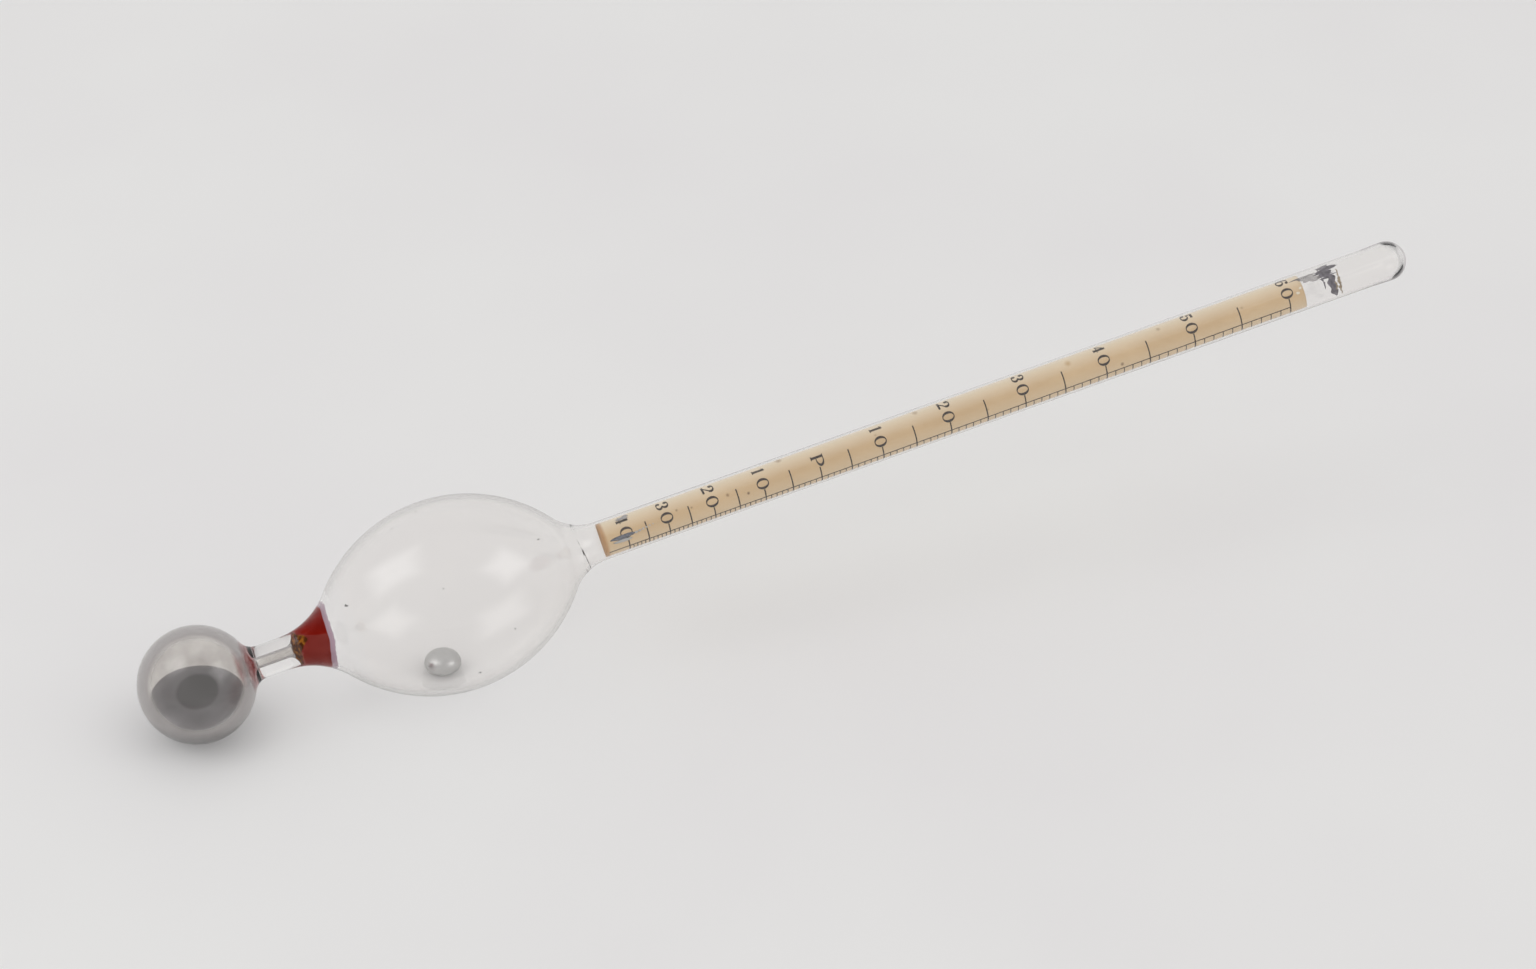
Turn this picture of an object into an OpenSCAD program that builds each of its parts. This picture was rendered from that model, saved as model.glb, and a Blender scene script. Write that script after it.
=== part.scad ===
// Hand-blown glass alcoholometer (spirit hydrometer) with a proof scale, 40 under to 60 over.
// It is drawn as it lies on a table: ballast bulb to -X, stem to +X and a little up.
// Along the instrument, t is counted in millimetres from the centre of the ballast bulb to the tip.

/* [Ballast bulb] */
// Outer radius of the ballast bulb
ball_r = 11.9; // [10.5:0.1:13]
// Wall of the ballast bulb
ball_wall = 1.6; // [1:0.1:2.2]
// Radius of the outer glass fillet where the neck is welded on
collar_fillet = 3.3; // [2:0.1:4]
// Radius of the lip where the bore opens into the ballast bulb
throat_fillet = 2; // [1:0.1:2.6]
// How far the weld between ballast bulb and neck lies before the end of that fillet
neck_weld_back = 1.27; // [0.4:0.01:1.6]

/* [Neck] */
// Outer radius of the neck
neck_r = 3.35; // [3:0.05:3.8]
// Radius of the fine bore through the neck
bore_r = 0.75; // [0.5:0.05:1]
// How far the weld between neck and float bulb lies beyond the start of the float bulb's flare
float_weld_rise = 0.45; // [0:0.05:0.6]
// How far beyond the start of that flare the bore begins to open
mouth_rise = 0.95; // [0.8:0.05:1.3]
// Radius of the rounded mouth of the bore
mouth_fillet = 2.5; // [2.2:0.1:2.8]

/* [Float bulb] */
// Greatest outer radius of the float bulb
float_r = 19.65; // [18.5:0.05:20.5]
// Distance from the centre of the ballast bulb to the widest ring of the float bulb
float_t = 53.4; // [52:0.1:56]
// Radius of the arc that its side follows lengthwise
belly_arc_r = 31.5; // [29:0.1:33]
// Wall of the float bulb
float_wall = 0.8; // [0.6:0.05:1.2]
// Radius of the flare from the neck to the float bulb
neck_flare_r = 15.2; // [13:0.1:16]
// Glass thickness in that flare
neck_flare_wall = 0.9; // [0.7:0.05:1.2]
// Radius of the flare from the float bulb to the stem
stem_flare_r = 10.3; // [8:0.1:12]

/* [Stem] */
// Outer radius of the stem
stem_r = 4; // [3.85:0.05:4.3]
// Wall of the stem
stem_wall = 0.4; // [0.3:0.05:0.6]
// How far the weld between float bulb and stem lies before the straight stem
stem_weld_back = 4; // [2:0.1:6]
// Length of clear stem from the paper's end to the weld of the sealed tip
stem_head = 15; // [13:0.5:20]
// Outer radius of the sealed, slightly swollen tip
tip_r = 4.15; // [3.95:0.05:4.4]
// Length of the tip from its weld to the centre of its rounded end
tip_len = 4.9; // [4.5:0.1:7]
// Glass thickness at the end of the tip
tip_wall = 1.2; // [0.8:0.1:3]

/* [Mercury] */
// Depth of the pool's level top below the centre of the ballast bulb
pool_level = 1.6; // [0.5:0.1:3]
// Height of the rounded rim of the pool
pool_rim = 1.2; // [0.6:0.1:1.6]
// Gap between the pool and the glass
pool_gap = 0.08; // [0.05:0.01:0.2]
// Radius of the stray bead in the float bulb
bead_r = 3.8; // [2:0.1:4.5]
// Height of the bead above its widest ring
bead_dome_h = 2.54; // [1.6:0.02:3]
// Height of the bead below its widest ring
bead_foot_h = 1.56; // [1:0.02:1.8]
// Gap between the bead and the glass
bead_gap = 0.15; // [0.1:0.01:0.3]
// Turn of the bead from the foot of the float bulb towards the neck, in degrees
bead_turn = 0.5; // [0:0.5:6]

/* [Wax plug] */
// Length of the wax from the mouth of the bore to its face
wax_len = 9.4; // [8:0.1:11]
// Slant of the wax face in degrees
wax_slant = 9; // [0:1:12]
// Gap between wax and glass
wax_gap = 0.04; // [0.02:0.01:0.08]
// How far the stopper's bottom end sits beyond the start of the mouth
stopper_rise = 1.1; // [0.7:0.1:1.3]
// Length of the brown stopper
stopper_len = 2.8; // [2:0.1:3.4]
// Radius of its wider part
stopper_r = 1.3; // [1.1:0.05:1.5]
// How far up the wax starts from the bottom end of the stopper
wax_start = 1; // [0.8:0.1:1.4]

/* [Paper scale] */
// Gap between the rolled paper and the glass
paper_gap = 0.1; // [0.06:0.01:0.3]
// Thickness of the paper
paper_thick = 0.12; // [0.08:0.01:0.16]
// Gap from the start of the straight bore of the stem to the paper
paper_foot = 0.69; // [0.4:0.01:3]
// Margin of the paper beyond its last degree line
paper_head = 3.84; // [3.4:0.02:8]
// Turn of the ruled line about the stem at the float end, in degrees from the underside
ruled_line_turn = 280; // [272:1:290]
// How far the roll is twisted towards the tip, in degrees
roll_twist = 11; // [0:1:20]
// How far beyond the proof mark the twist of the roll begins
twist_rise = 7.1; // [0:0.1:25]
// Turn from the ruled line to the free edge of the paper, in degrees
lap_edge_turn = 32; // [30:1:38]

/* [Graduations] */
// Margin of the paper before its first degree line
scale_foot = 4.94; // [4:0.02:8]
// Length of one degree at the proof mark
degree_len = 1.294; // [1.25:0.002:1.31]
// Growth of that length with each degree
degree_growth = 0.00674; // [0.0055:0.0001:0.0069]
// Further growth with the square of the degree
degree_bend = 0.0000155; // [0.00001:0.0000005:0.000016]
// Degrees below the proof mark
degrees_under = 40; // [20:10:40]
// Degrees above the proof mark
degrees_over = 60; // [40:10:60]
// Width of the ruled line and of a single-degree line
line_w = 0.18; // [0.12:0.01:0.22]
// Width of a five- or ten-degree line
long_line_w = 0.26; // [0.14:0.01:0.3]
// Thickness of the ink
ink_thick = 0.03; // [0.02:0.01:0.04]
// Length of each degree line beyond the ruled line
unit_line_len = 1.65; // [1:0.05:1.7]
// Length of a five-degree line before the ruled line
five_line_len = 3.65; // [3:0.05:3.9]
// Length of a ten-degree line from its number to the ruled line
ten_line_len = 1.7; // [1.5:0.05:2.6]
// Length of the proof line from its letter to the ruled line
proof_line_len = 2.2; // [1.5:0.05:2.6]
// Height of a figure
figure_h = 2.6; // [2:0.05:2.8]
// Width of a figure
figure_w = 2.2; // [1.6:0.05:2.4]
// Thick stroke of a figure
thick_stroke = 0.5; // [0.3:0.02:0.56]
// Thin stroke of a figure
thin_stroke = 0.18; // [0.12:0.01:0.22]
// Distance from figure to figure round the stem
figure_pitch = 2.85; // [2.6:0.05:3.1]

/* [Residues] */
// Distance from the paper's start to the middle of the mercury smear
smear_foot = 4.1; // [3:0.1:7]
// Length of that smear
smear_len = 5; // [3:0.1:6]
// Width of that smear
smear_w = 1.5; // [0.8:0.1:2]
// Distance from the paper's end to the dark cement ring
cement_gap = 5.4; // [4:0.1:8]
// Width of the cement ring along the stem
cement_w = 1.8; // [1:0.1:2.4]
// Thickness of the cement ring
cement_thick = 0.25; // [0.15:0.05:0.4]
// Part of a turn that the cement ring covers, in degrees
cement_turn = 235; // [180:5:300]
// Length of a dab of glue round the stem
dab_w = 0.7; // [0.4:0.05:1]
// Length of a dab of glue along the stem
dab_len = 0.5; // [0.3:0.05:0.7]

/* [Hidden] */
$fn = 72;
arc_step = 4;

// Inner sizes
ball_in_r = ball_r - ball_wall;
float_in_r = float_r - float_wall;
belly_in_r = belly_arc_r - float_wall;
stem_in_r = stem_r - stem_wall;
belly_c = float_r - belly_arc_r;

// Places of the fillet centres along the instrument
collar_t = sqrt(pow(ball_r + collar_fillet, 2) - pow(neck_r + collar_fillet, 2));
throat_t = sqrt(pow(ball_in_r + throat_fillet, 2) - pow(bore_r + throat_fillet, 2));
neck_flare_t = flare_t(belly_arc_r, neck_r, neck_flare_r, -1);
stem_flare_t = flare_t(belly_arc_r, stem_r, stem_flare_r, 1);
neck_in_c = neck_r + neck_flare_r;
neck_in_r = neck_flare_r + neck_flare_wall;
neck_in_t = float_t - sqrt(pow(belly_in_r + neck_in_r, 2) - pow(neck_in_c - belly_c, 2));
stem_in_t = flare_t(belly_in_r, stem_in_r, stem_flare_r, 1);

// Places of the welds, of the paper with its scale, and of the tip, each counted from the last
neck_weld_t = collar_t - neck_weld_back;
float_weld_t = neck_flare_t + float_weld_rise;
stem_weld_t = stem_flare_t - stem_weld_back;
paper_start_t = stem_in_t + paper_foot;
proof_t = paper_start_t + scale_foot - degrees_run(-degrees_under);
over_end_t = proof_t + degrees_run(degrees_over);
paper_end_t = over_end_t + paper_head;
twist_start_t = proof_t + twist_rise;
tip_weld_t = paper_end_t + stem_head;
tip_t = tip_weld_t + tip_len;
tip_in_t = tip_t + tip_r - tip_wall - stem_in_r;
tip_end_t = tip_t + tip_r;

// The mouth of the bore meets the inner flare where the two circles cross
mouth_t = neck_flare_t + mouth_rise;
mouth_c = bore_r + mouth_fillet;
mouth_gap_r = neck_in_c - mouth_c;
mouth_gap_t = neck_in_t - mouth_t;
mouth_d = norm([mouth_gap_r, mouth_gap_t]);
mouth_along = (mouth_d * mouth_d + pow(mouth_fillet, 2) - pow(neck_in_r, 2)) / (2 * mouth_d);
mouth_turn = acos(mouth_along / mouth_fillet);
mouth_end_a = atan2(mouth_gap_t, mouth_gap_r) + mouth_turn;
mouth_end = [mouth_c + mouth_fillet * cos(mouth_end_a), mouth_t + mouth_fillet * sin(mouth_end_a)];
neck_in_a = atan2(mouth_end[1] - neck_in_t, mouth_end[0] - neck_in_c);

// Ballast bulb and float bulb both rest on the table: this is the tilt that makes it so
belly_rise = belly_arc_r - float_r;
tilt = asin((belly_arc_r - ball_r) / norm([float_t, belly_rise])) - atan2(belly_rise, float_t);
mid_x = (tip_t * cos(tilt) + tip_r - ball_r) / 2;

// The foot of the float bulb inside, where the bead rests; its foot is curved a little more tightly
foot_curve = 0.9;
bead_floor_r = float_in_r - bead_gap;
bead_tilt = tilt + bead_turn;
bead_foot_r = bead_floor_r * foot_curve;

// Wax and stopper
wax_face_t = mouth_t + wax_len;
stopper_t = mouth_t + stopper_rise;

// Paper and ink: the lap's step in degrees and the short steps of the twisted line
paper_r = stem_in_r - paper_gap;
paper_in_r = paper_r - paper_thick;
ink_gap = 0.02;
step_turn = 20;
twist_steps = 40;
ball_share = 0.62;

// Residues lie in the gap between paper and glass; their turns are counted back from the ruled line
patch_share = 0.3;
patch_r = paper_r + paper_gap / 2;
patch_thick = paper_gap * patch_share;
smear_t = paper_start_t + smear_foot;
smear_back = 37;
tail_beads = 5;
tail_step = 0.75;
tail_share = 0.42;
tail_fade = 0.04;
cement_t = paper_end_t + cement_gap;
cement_start_turn = 90;
clot_start_turn = 105;
clot_share = 1.8;
cement_smear_back = 88;
cement_smear_half = 2;
dab_margin = 0.8;
dab_step = 0.9;
dab_back = 50;
dab_back_step = 24;

function arc(cr, ct, r, a0, a1) =
    let(n = max(2, ceil(abs(a1 - a0) / arc_step)))
    [for (i = [0:n]) let(a = a0 + (a1 - a0) * i / n) [cr + r * cos(a), ct + r * sin(a)]];

function flare_t(belly, tube, flare, side) =
    float_t + side * sqrt(pow(belly + flare, 2) - pow(tube + flare - belly_c, 2));

// Distance from the proof mark to a degree, and that degree's place
function degrees_run(g) = degree_len * g + degree_growth * g * g + degree_bend * g * g * g;
function degree_t(g) = proof_t + degrees_run(g);

function line_turn(t) =
    ruled_line_turn - roll_twist * max(0, t - twist_start_t) / (over_end_t - twist_start_t);

function round_deg(length) = length / paper_r * 180 / PI;

function long_line_len(g) = g == 0 ? proof_line_len : g % 10 == 0 ? ten_line_len : five_line_len;

// Outline of the outer glass, from the foot of the ballast bulb to the tip
collar_a = atan2(collar_t, neck_r + collar_fillet);
neck_a = atan2(float_t - neck_flare_t, belly_c - neck_r - neck_flare_r);
stem_a = atan2(stem_flare_t - float_t, stem_r + stem_flare_r - belly_c);
glass_out = concat(
    arc(0, 0, ball_r, -90, collar_a),
    arc(neck_r + collar_fillet, collar_t, collar_fillet, 180 + collar_a, 180),
    arc(neck_r + neck_flare_r, neck_flare_t, neck_flare_r, 180, neck_a),
    arc(belly_c, float_t, belly_arc_r, neck_a - 180, stem_a),
    arc(stem_r + stem_flare_r, stem_flare_t, stem_flare_r, 180 + stem_a, 180),
    [[stem_r, tip_weld_t]],
    arc(0, tip_t, tip_r, 0, 90));

// Outline of the hollow: ballast bulb, bore, float bulb and stem are one closed space
throat_a = atan2(throat_t, bore_r + throat_fillet);
neck_in_end_a = atan2(float_t - neck_in_t, belly_c - neck_in_c);
stem_in_a = atan2(stem_in_t - float_t, stem_in_r + stem_flare_r - belly_c);
glass_in = concat(
    arc(0, 0, ball_in_r, -90, throat_a),
    arc(bore_r + throat_fillet, throat_t, throat_fillet, 180 + throat_a, 180),
    arc(mouth_c, mouth_t, mouth_fillet, 180, mouth_end_a < 0 ? mouth_end_a + 360 : mouth_end_a),
    arc(neck_in_c, neck_in_t, neck_in_r, neck_in_a < 0 ? neck_in_a + 360 : neck_in_a, neck_in_end_a),
    arc(belly_c, float_t, belly_in_r, neck_in_end_a - 180, stem_in_a),
    arc(stem_in_r + stem_flare_r, stem_in_t, stem_flare_r, 180 + stem_in_a, 180),
    arc(0, tip_in_t, stem_in_r, 0, 90));

// Stands the instrument's own axis in its lying place on the table
module lying() {
    translate([-mid_x, 0, ball_r])
        rotate([0, 90 - tilt, 0])
            children();
}

// The glass between two places along the instrument
module glass_slice(t0, t1) {
    color([0.86, 0.88, 0.87, 0.45])
        lying()
            rotate_extrude()
                intersection() {
                    difference() {
                        polygon(glass_out);
                        polygon(glass_in);
                    }
                    translate([0, t0])
                        square([float_r + 1, t1 - t0]);
                }
}

module ballast_bulb() {
    glass_slice(-ball_r - 1, neck_weld_t);
}

module neck_tube() {
    glass_slice(neck_weld_t, float_weld_t);
}

module float_bulb() {
    glass_slice(float_weld_t, stem_weld_t);
}

module stem_tube() {
    glass_slice(stem_weld_t, tip_weld_t);
}

module stem_tip() {
    glass_slice(tip_weld_t, tip_end_t + 1);
}

// A thin shell round the stem that a flat shape is pressed onto, at a turn and a place
module pressed(t, turn, r, thick) {
    rotate([0, 0, turn])
        translate([0, 0, t])
            intersection() {
                rotate([90, 0, 90])
                    linear_extrude(r + thick + 1)
                        children();
                difference() {
                    cylinder(h = 4 * figure_h, r = r + thick, center = true);
                    cylinder(h = 5 * figure_h, r = r, center = true);
                }
            }
}

// A ring section with a square profile, from one turn to another
module band(r, thick, t, w, turn, sweep) {
    rotate([0, 0, turn])
        rotate_extrude(angle = sweep)
            translate([r, t])
                square([thick, w]);
}

// The rolled paper: two layers all round, but for the step beyond the free edge of the lap
module scale_paper() {
    length = paper_end_t - paper_start_t;
    color([0.84, 0.74, 0.58])
        lying()
            difference() {
                translate([0, 0, paper_start_t])
                    cylinder(h = length, r = paper_r);
                translate([0, 0, paper_start_t - 1])
                    cylinder(h = length + 2, r = paper_in_r - paper_thick);
                band(paper_in_r, 2 * paper_thick, paper_start_t - 1, length + 2,
                    ruled_line_turn + lap_edge_turn, step_turn);
            }
}

// The ruled line along the scale; near the tip it winds, in short steps, with the twist of the roll
module scale_ruled_line() {
    half = round_deg(line_w) / 2;
    start_t = paper_start_t + 3 * line_w;
    step = (over_end_t + line_w / 2 - twist_start_t) / twist_steps;
    color([0.16, 0.12, 0.08])
        lying() {
            band(paper_r, ink_thick, start_t, twist_start_t - start_t - ink_gap,
                ruled_line_turn - half, 2 * half);
            for (i = [0:twist_steps - 1]) {
                t = twist_start_t + i * step;
                band(paper_r, ink_thick, t, step - ink_gap, line_turn(t + step / 2) - half, 2 * half);
            }
        }
}

// The line of one degree: a short one beyond the ruled line, and at 5 and 10 a long one before it too
module degree_line(g) {
    w = g % 5 == 0 ? long_line_w : line_w;
    t = degree_t(g) - w / 2;
    turn = line_turn(degree_t(g));
    side = round_deg(line_w / 2 + ink_gap);
    before = round_deg(long_line_len(g));
    band(paper_r, ink_thick, t, w, turn + side, round_deg(unit_line_len));
    if (g % 5 == 0)
        band(paper_r, ink_thick, t, w, turn - side - before, before);
}

module scale_graduations() {
    color([0.16, 0.12, 0.08])
        lying()
            for (g = [-degrees_under:degrees_over])
                degree_line(g);
}

// A stroke along an arc of an oval; it is thick where it runs upright and thin where it runs level
function pen(a) = (thin_stroke + (thick_stroke - thin_stroke) * pow(abs(cos(a)), 1.5)) / 2;
function oval(cx, cy, rx, ry, a0, a1, n = 14) = concat(
    [for (i = [0:n]) let(a = a0 + (a1 - a0) * i / n)
        [cx + (rx + pen(a)) * cos(a), cy + (ry + pen(a)) * sin(a)]],
    [for (i = [n:-1:0]) let(a = a0 + (a1 - a0) * i / n)
        [cx + (rx - pen(a)) * cos(a), cy + (ry - pen(a)) * sin(a)]]);

// Middle lines of the figures, half a thick stroke inside their box
fig_x = (figure_w - thick_stroke) / 2;
fig_y = (figure_h - thin_stroke) / 2;
bowl_y = fig_y / 2;

module bar(x0, x1, y, w = thin_stroke) {
    translate([min(x0, x1), y - w / 2])
        square([abs(x1 - x0), w]);
}

module post(x, y0, y1, w = thick_stroke) {
    translate([x - w / 2, y0])
        square([w, y1 - y0]);
}

module ball_end(x, y) {
    translate([x, y])
        circle(thick_stroke * ball_share, $fn = 16);
}

module slope(x0, y0, x1, y1, w) {
    polygon([[x0 - w / 2, y0], [x0 + w / 2, y0], [x1 + w / 2, y1], [x1 - w / 2, y1]]);
}

module figure_0() {
    difference() {
        polygon([for (a = [0:15:345]) [(fig_x + pen(a)) * cos(a), (fig_y + pen(a)) * sin(a)]]);
        polygon([for (a = [0:15:345]) [(fig_x - pen(a)) * cos(a), (fig_y - pen(a)) * sin(a)]]);
    }
}

module figure_1() {
    post(0, -fig_y, fig_y + thin_stroke / 2);
    bar(-fig_x / 2, fig_x / 2, -fig_y);
    slope(-fig_x / 2, fig_y * 0.72, 0, fig_y * 0.95, thin_stroke * 1.4);
}

module figure_2() {
    polygon(oval(0, bowl_y, fig_x * 0.8, bowl_y, 170, -40));
    slope(-fig_x * 0.8, -fig_y, fig_x * 0.62, bowl_y * 0.36, thick_stroke * 0.7);
    bar(-fig_x, fig_x, -fig_y + thin_stroke, thin_stroke * 2.4);
    ball_end(-fig_x * 0.66, bowl_y);
}

module figure_3() {
    polygon(oval(0, bowl_y, fig_x * 0.75, bowl_y, 160, -85));
    polygon(oval(0, -bowl_y, fig_x * 0.85, bowl_y, 85, -160));
    ball_end(-fig_x * 0.58, bowl_y * 1.1);
    ball_end(-fig_x * 0.66, -bowl_y * 1.1);
}

module figure_4() {
    post(fig_x * 0.4, -fig_y, fig_y);
    bar(-fig_x, fig_x, -fig_y * 0.42);
    slope(-fig_x + thin_stroke, -fig_y * 0.42, fig_x * 0.4, fig_y * 0.95, thin_stroke * 1.6);
    bar(0, fig_x * 0.8, -fig_y);
}

module figure_5() {
    polygon(oval(0, -bowl_y * 0.8, fig_x * 0.85, bowl_y * 1.2, 130, -160));
    post(-fig_x * 0.55, 0, fig_y, thin_stroke * 1.2);
    bar(-fig_x * 0.6, fig_x * 0.7, fig_y - thin_stroke, thin_stroke * 2.6);
    ball_end(-fig_x * 0.66, -bowl_y * 1.1);
}

module figure_6() {
    difference() {
        polygon([for (a = [0:20:340])
            [(fig_x * 0.8 + pen(a)) * cos(a), -bowl_y * 0.8 + (bowl_y * 1.2 + pen(a)) * sin(a)]]);
        polygon([for (a = [0:20:340])
            [(fig_x * 0.8 - pen(a)) * cos(a), -bowl_y * 0.8 + (bowl_y * 1.2 - pen(a)) * sin(a)]]);
    }
    polygon(oval(fig_x * 0.1, 0, fig_x * 0.95, fig_y, 60, 200));
    ball_end(fig_x * 0.55, fig_y * 0.8);
}

module figure_p() {
    bowl_x = -fig_x * 0.4;
    post(-fig_x, -fig_y, fig_y);
    polygon(oval(bowl_x, bowl_y * 0.8, fig_x * 1.4, bowl_y * 1.2, 90, -90));
    bar(-fig_x * 1.5, -fig_x * 0.5, -fig_y);
    bar(-fig_x * 1.5, bowl_x + thin_stroke, fig_y);
    bar(-fig_x, bowl_x + thin_stroke, -bowl_y * 0.4);
}

module figure(k) {
    if (k == 0) figure_0();
    if (k == 1) figure_1();
    if (k == 2) figure_2();
    if (k == 3) figure_3();
    if (k == 4) figure_4();
    if (k == 5) figure_5();
    if (k == 6) figure_6();
}

// The numbers stand across the ruled lines, their heads towards the tip
module scale_figures() {
    color([0.16, 0.12, 0.08])
        lying()
            for (g = [-degrees_under:10:degrees_over]) {
                t = degree_t(g);
                last = line_turn(t) - round_deg(long_line_len(g) + figure_w / 2 + thin_stroke);
                if (g == 0)
                    pressed(t, last, paper_r, ink_thick)
                        figure_p();
                else {
                    pressed(t, last, paper_r, ink_thick)
                        figure_0();
                    pressed(t, last - round_deg(figure_pitch), paper_r, ink_thick)
                        figure(abs(g) / 10);
                }
            }
}

// The hollow of the float bulb's throat, drawn in a little, up to the slanted face
module throat_fill(t0, gap) {
    intersection() {
        rotate_extrude()
            intersection() {
                translate([-gap, 0])
                    polygon(concat(glass_in, [[0, -ball_in_r]]));
                translate([0, t0])
                    square([float_r, wax_face_t + float_r - t0]);
            }
        translate([0, 0, wax_face_t])
            rotate([0, wax_slant, 0])
                translate([-float_r, -float_r, -2 * float_r])
                    cube(2 * float_r);
    }
}

// The red wax that closes the bore, run into the throat of the float bulb
module wax_plug() {
    color([0.5, 0.11, 0.08])
        lying()
            difference() {
                throat_fill(stopper_t + wax_start, wax_gap);
                translate([0, 0, stopper_t])
                    cylinder(h = stopper_len + wax_gap, r = stopper_r + wax_gap);
            }
}

// The brown stopper under the wax, its thin end in the bore
module bore_stopper() {
    color([0.29, 0.17, 0.1])
        lying()
            intersection() {
                rotate_extrude()
                    intersection() {
                        translate([-wax_gap, 0])
                            polygon(concat(glass_in, [[0, -ball_in_r]]));
                        translate([0, stopper_t])
                            square([float_r, stopper_len]);
                    }
                translate([0, 0, stopper_t])
                    cylinder(h = stopper_len, r = stopper_r);
            }
}

// The mercury in the ballast bulb: level on top, its rim rounded, its foot on the round glass
module ballast_mercury() {
    r = ball_in_r - pool_gap;
    foot = pool_level + pool_rim;
    foot_a = -asin(foot / r);
    rim_r = r * cos(foot_a);
    rim_reach = 2.2 * pool_rim;
    color([0.55, 0.55, 0.56])
        translate([-mid_x, 0, ball_r])
            rotate_extrude()
                polygon(concat([[0, -pool_level]],
                    [for (i = [0:6]) let(a = 90 - 90 * i / 6)
                        [rim_r - rim_reach * (1 - cos(a)), -foot + pool_rim * sin(a)]],
                    arc(0, 0, r, foot_a, -90)));
}

// Rise of the round foot that keeps the bead off the narrow curve of the bulb
function bead_foot(r) = bead_foot_r - sqrt(bead_foot_r * bead_foot_r - r * r);

// The stray bead of mercury on the floor of the float bulb
module mercury_bead() {
    color([0.68, 0.68, 0.68])
        lying()
            translate([belly_c, 0, float_t])
                rotate([0, bead_tilt, 0])
                    translate([belly_in_r - bead_gap, 0, 0])
                        rotate([0, -90, 0])
                            rotate_extrude()
                                polygon(concat(
                                    [for (i = [0:8]) let(a = 90 * i / 8)
                                        [bead_r * sin(a), bead_foot_h + bead_dome_h * cos(a)]],
                                    [for (i = [1:8]) let(a = 90 * i / 8, r = bead_r * cos(a))
                                        [r, bead_foot_h * (1 - sin(a)) + bead_foot(r)]]));
}

// A flat oval spot
module spot(x, y, w, h) {
    translate([x, y])
        polygon([for (a = [0:20:340]) [w / 2 * cos(a), h / 2 * sin(a)]]);
}

// Mercury caught between paper and glass near the foot of the stem
module stem_mercury_smear() {
    color([0.45, 0.46, 0.5])
        lying()
            pressed(smear_t, ruled_line_turn - smear_back, patch_r - patch_thick / 2, patch_thick)
                spot(0, 0, smear_w, smear_len);
}

// The tail of fine beads that the smear has left towards the tip
module stem_mercury_beads() {
    color([0.55, 0.55, 0.57])
        lying()
            for (i = [1:tail_beads]) {
                size = smear_w * (tail_share - tail_fade * i);
                pressed(smear_t + smear_len / 2 + i * tail_step, ruled_line_turn - smear_back - i % 2,
                    patch_r - patch_thick / 2, patch_thick)
                    spot(0, 0, size, size);
            }
}

// The dark cement that held the paper under the tip, left as a broken ring
module cement_ring() {
    color([0.22, 0.2, 0.2])
        lying() {
            band(stem_in_r - wax_gap - cement_thick, cement_thick, cement_t, cement_w,
                cement_start_turn, cement_turn);
            band(stem_in_r - wax_gap - 2 * cement_thick, 2 * cement_thick, cement_t - cement_w / 2,
                clot_share * cement_w, clot_start_turn, cement_turn / 4);
        }
}

// A thin grey smear of the same cement beside the ring, towards the paper
module cement_smear() {
    color([0.5, 0.48, 0.48])
        lying()
            pressed((cement_t + paper_end_t) / 2, ruled_line_turn - cement_smear_back,
                stem_in_r - wax_gap - patch_thick, patch_thick)
                polygon([[-smear_w / 4, -cement_smear_half], [smear_w / 4, -cement_smear_half],
                    [smear_w, cement_smear_half], [-smear_w, cement_smear_half]]);
}

// Two small dabs of clear glue at the end of the paper
module glue_dabs() {
    color([0.9, 0.85, 0.7])
        lying()
            for (i = [0, 1])
                pressed(paper_end_t - dab_margin - dab_step * i,
                    ruled_line_turn - dab_back - dab_back_step * i, patch_r - patch_thick / 2, patch_thick)
                    spot(0, 0, dab_w, dab_len);
}

ballast_bulb();
neck_tube();
float_bulb();
stem_tube();
stem_tip();
scale_paper();
scale_ruled_line();
scale_graduations();
scale_figures();
wax_plug();
bore_stopper();
ballast_mercury();
mercury_bead();
stem_mercury_smear();
stem_mercury_beads();
cement_ring();
cement_smear();
glue_dabs();
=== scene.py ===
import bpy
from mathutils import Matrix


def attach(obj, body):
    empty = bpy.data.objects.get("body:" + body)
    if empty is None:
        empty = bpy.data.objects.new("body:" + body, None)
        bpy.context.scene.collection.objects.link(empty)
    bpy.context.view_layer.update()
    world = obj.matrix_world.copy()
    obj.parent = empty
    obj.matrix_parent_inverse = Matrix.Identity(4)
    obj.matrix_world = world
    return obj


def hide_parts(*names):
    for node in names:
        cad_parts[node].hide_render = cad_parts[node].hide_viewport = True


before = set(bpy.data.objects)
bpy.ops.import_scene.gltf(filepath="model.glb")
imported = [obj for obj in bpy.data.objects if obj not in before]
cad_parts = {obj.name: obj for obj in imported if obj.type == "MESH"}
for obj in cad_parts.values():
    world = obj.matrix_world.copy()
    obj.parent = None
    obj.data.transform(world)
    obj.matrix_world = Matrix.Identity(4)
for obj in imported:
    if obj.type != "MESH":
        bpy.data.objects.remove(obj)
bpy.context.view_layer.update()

import math

import bpy
import numpy as np
from mathutils import Matrix, Vector

print("frame loaded:", len(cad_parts), "solids")

# The instrument lies on its two bulbs. Sizes here are millimetres; t runs along it from the
# centre of the ballast bulb to the tip, and a turn goes round it from the underside.
glassForm = dict(
    ballR=11.9, ballWall=1.6, collarFillet=3.3, throatFillet=2.0,
    neckR=3.35, boreR=0.75, mouthT=18.9, mouthFillet=2.5,
    floatR=19.65, floatT=53.4, bellyArc=31.5, floatWall=0.8,
    neckFlare=15.2, neckFlareWall=0.9, stemFlare=10.3,
    stemR=4.0, stemWall=0.4, tipWeldT=257.0,
    tipR=4.15, tipT=261.9, tipWall=1.2,
)

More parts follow.
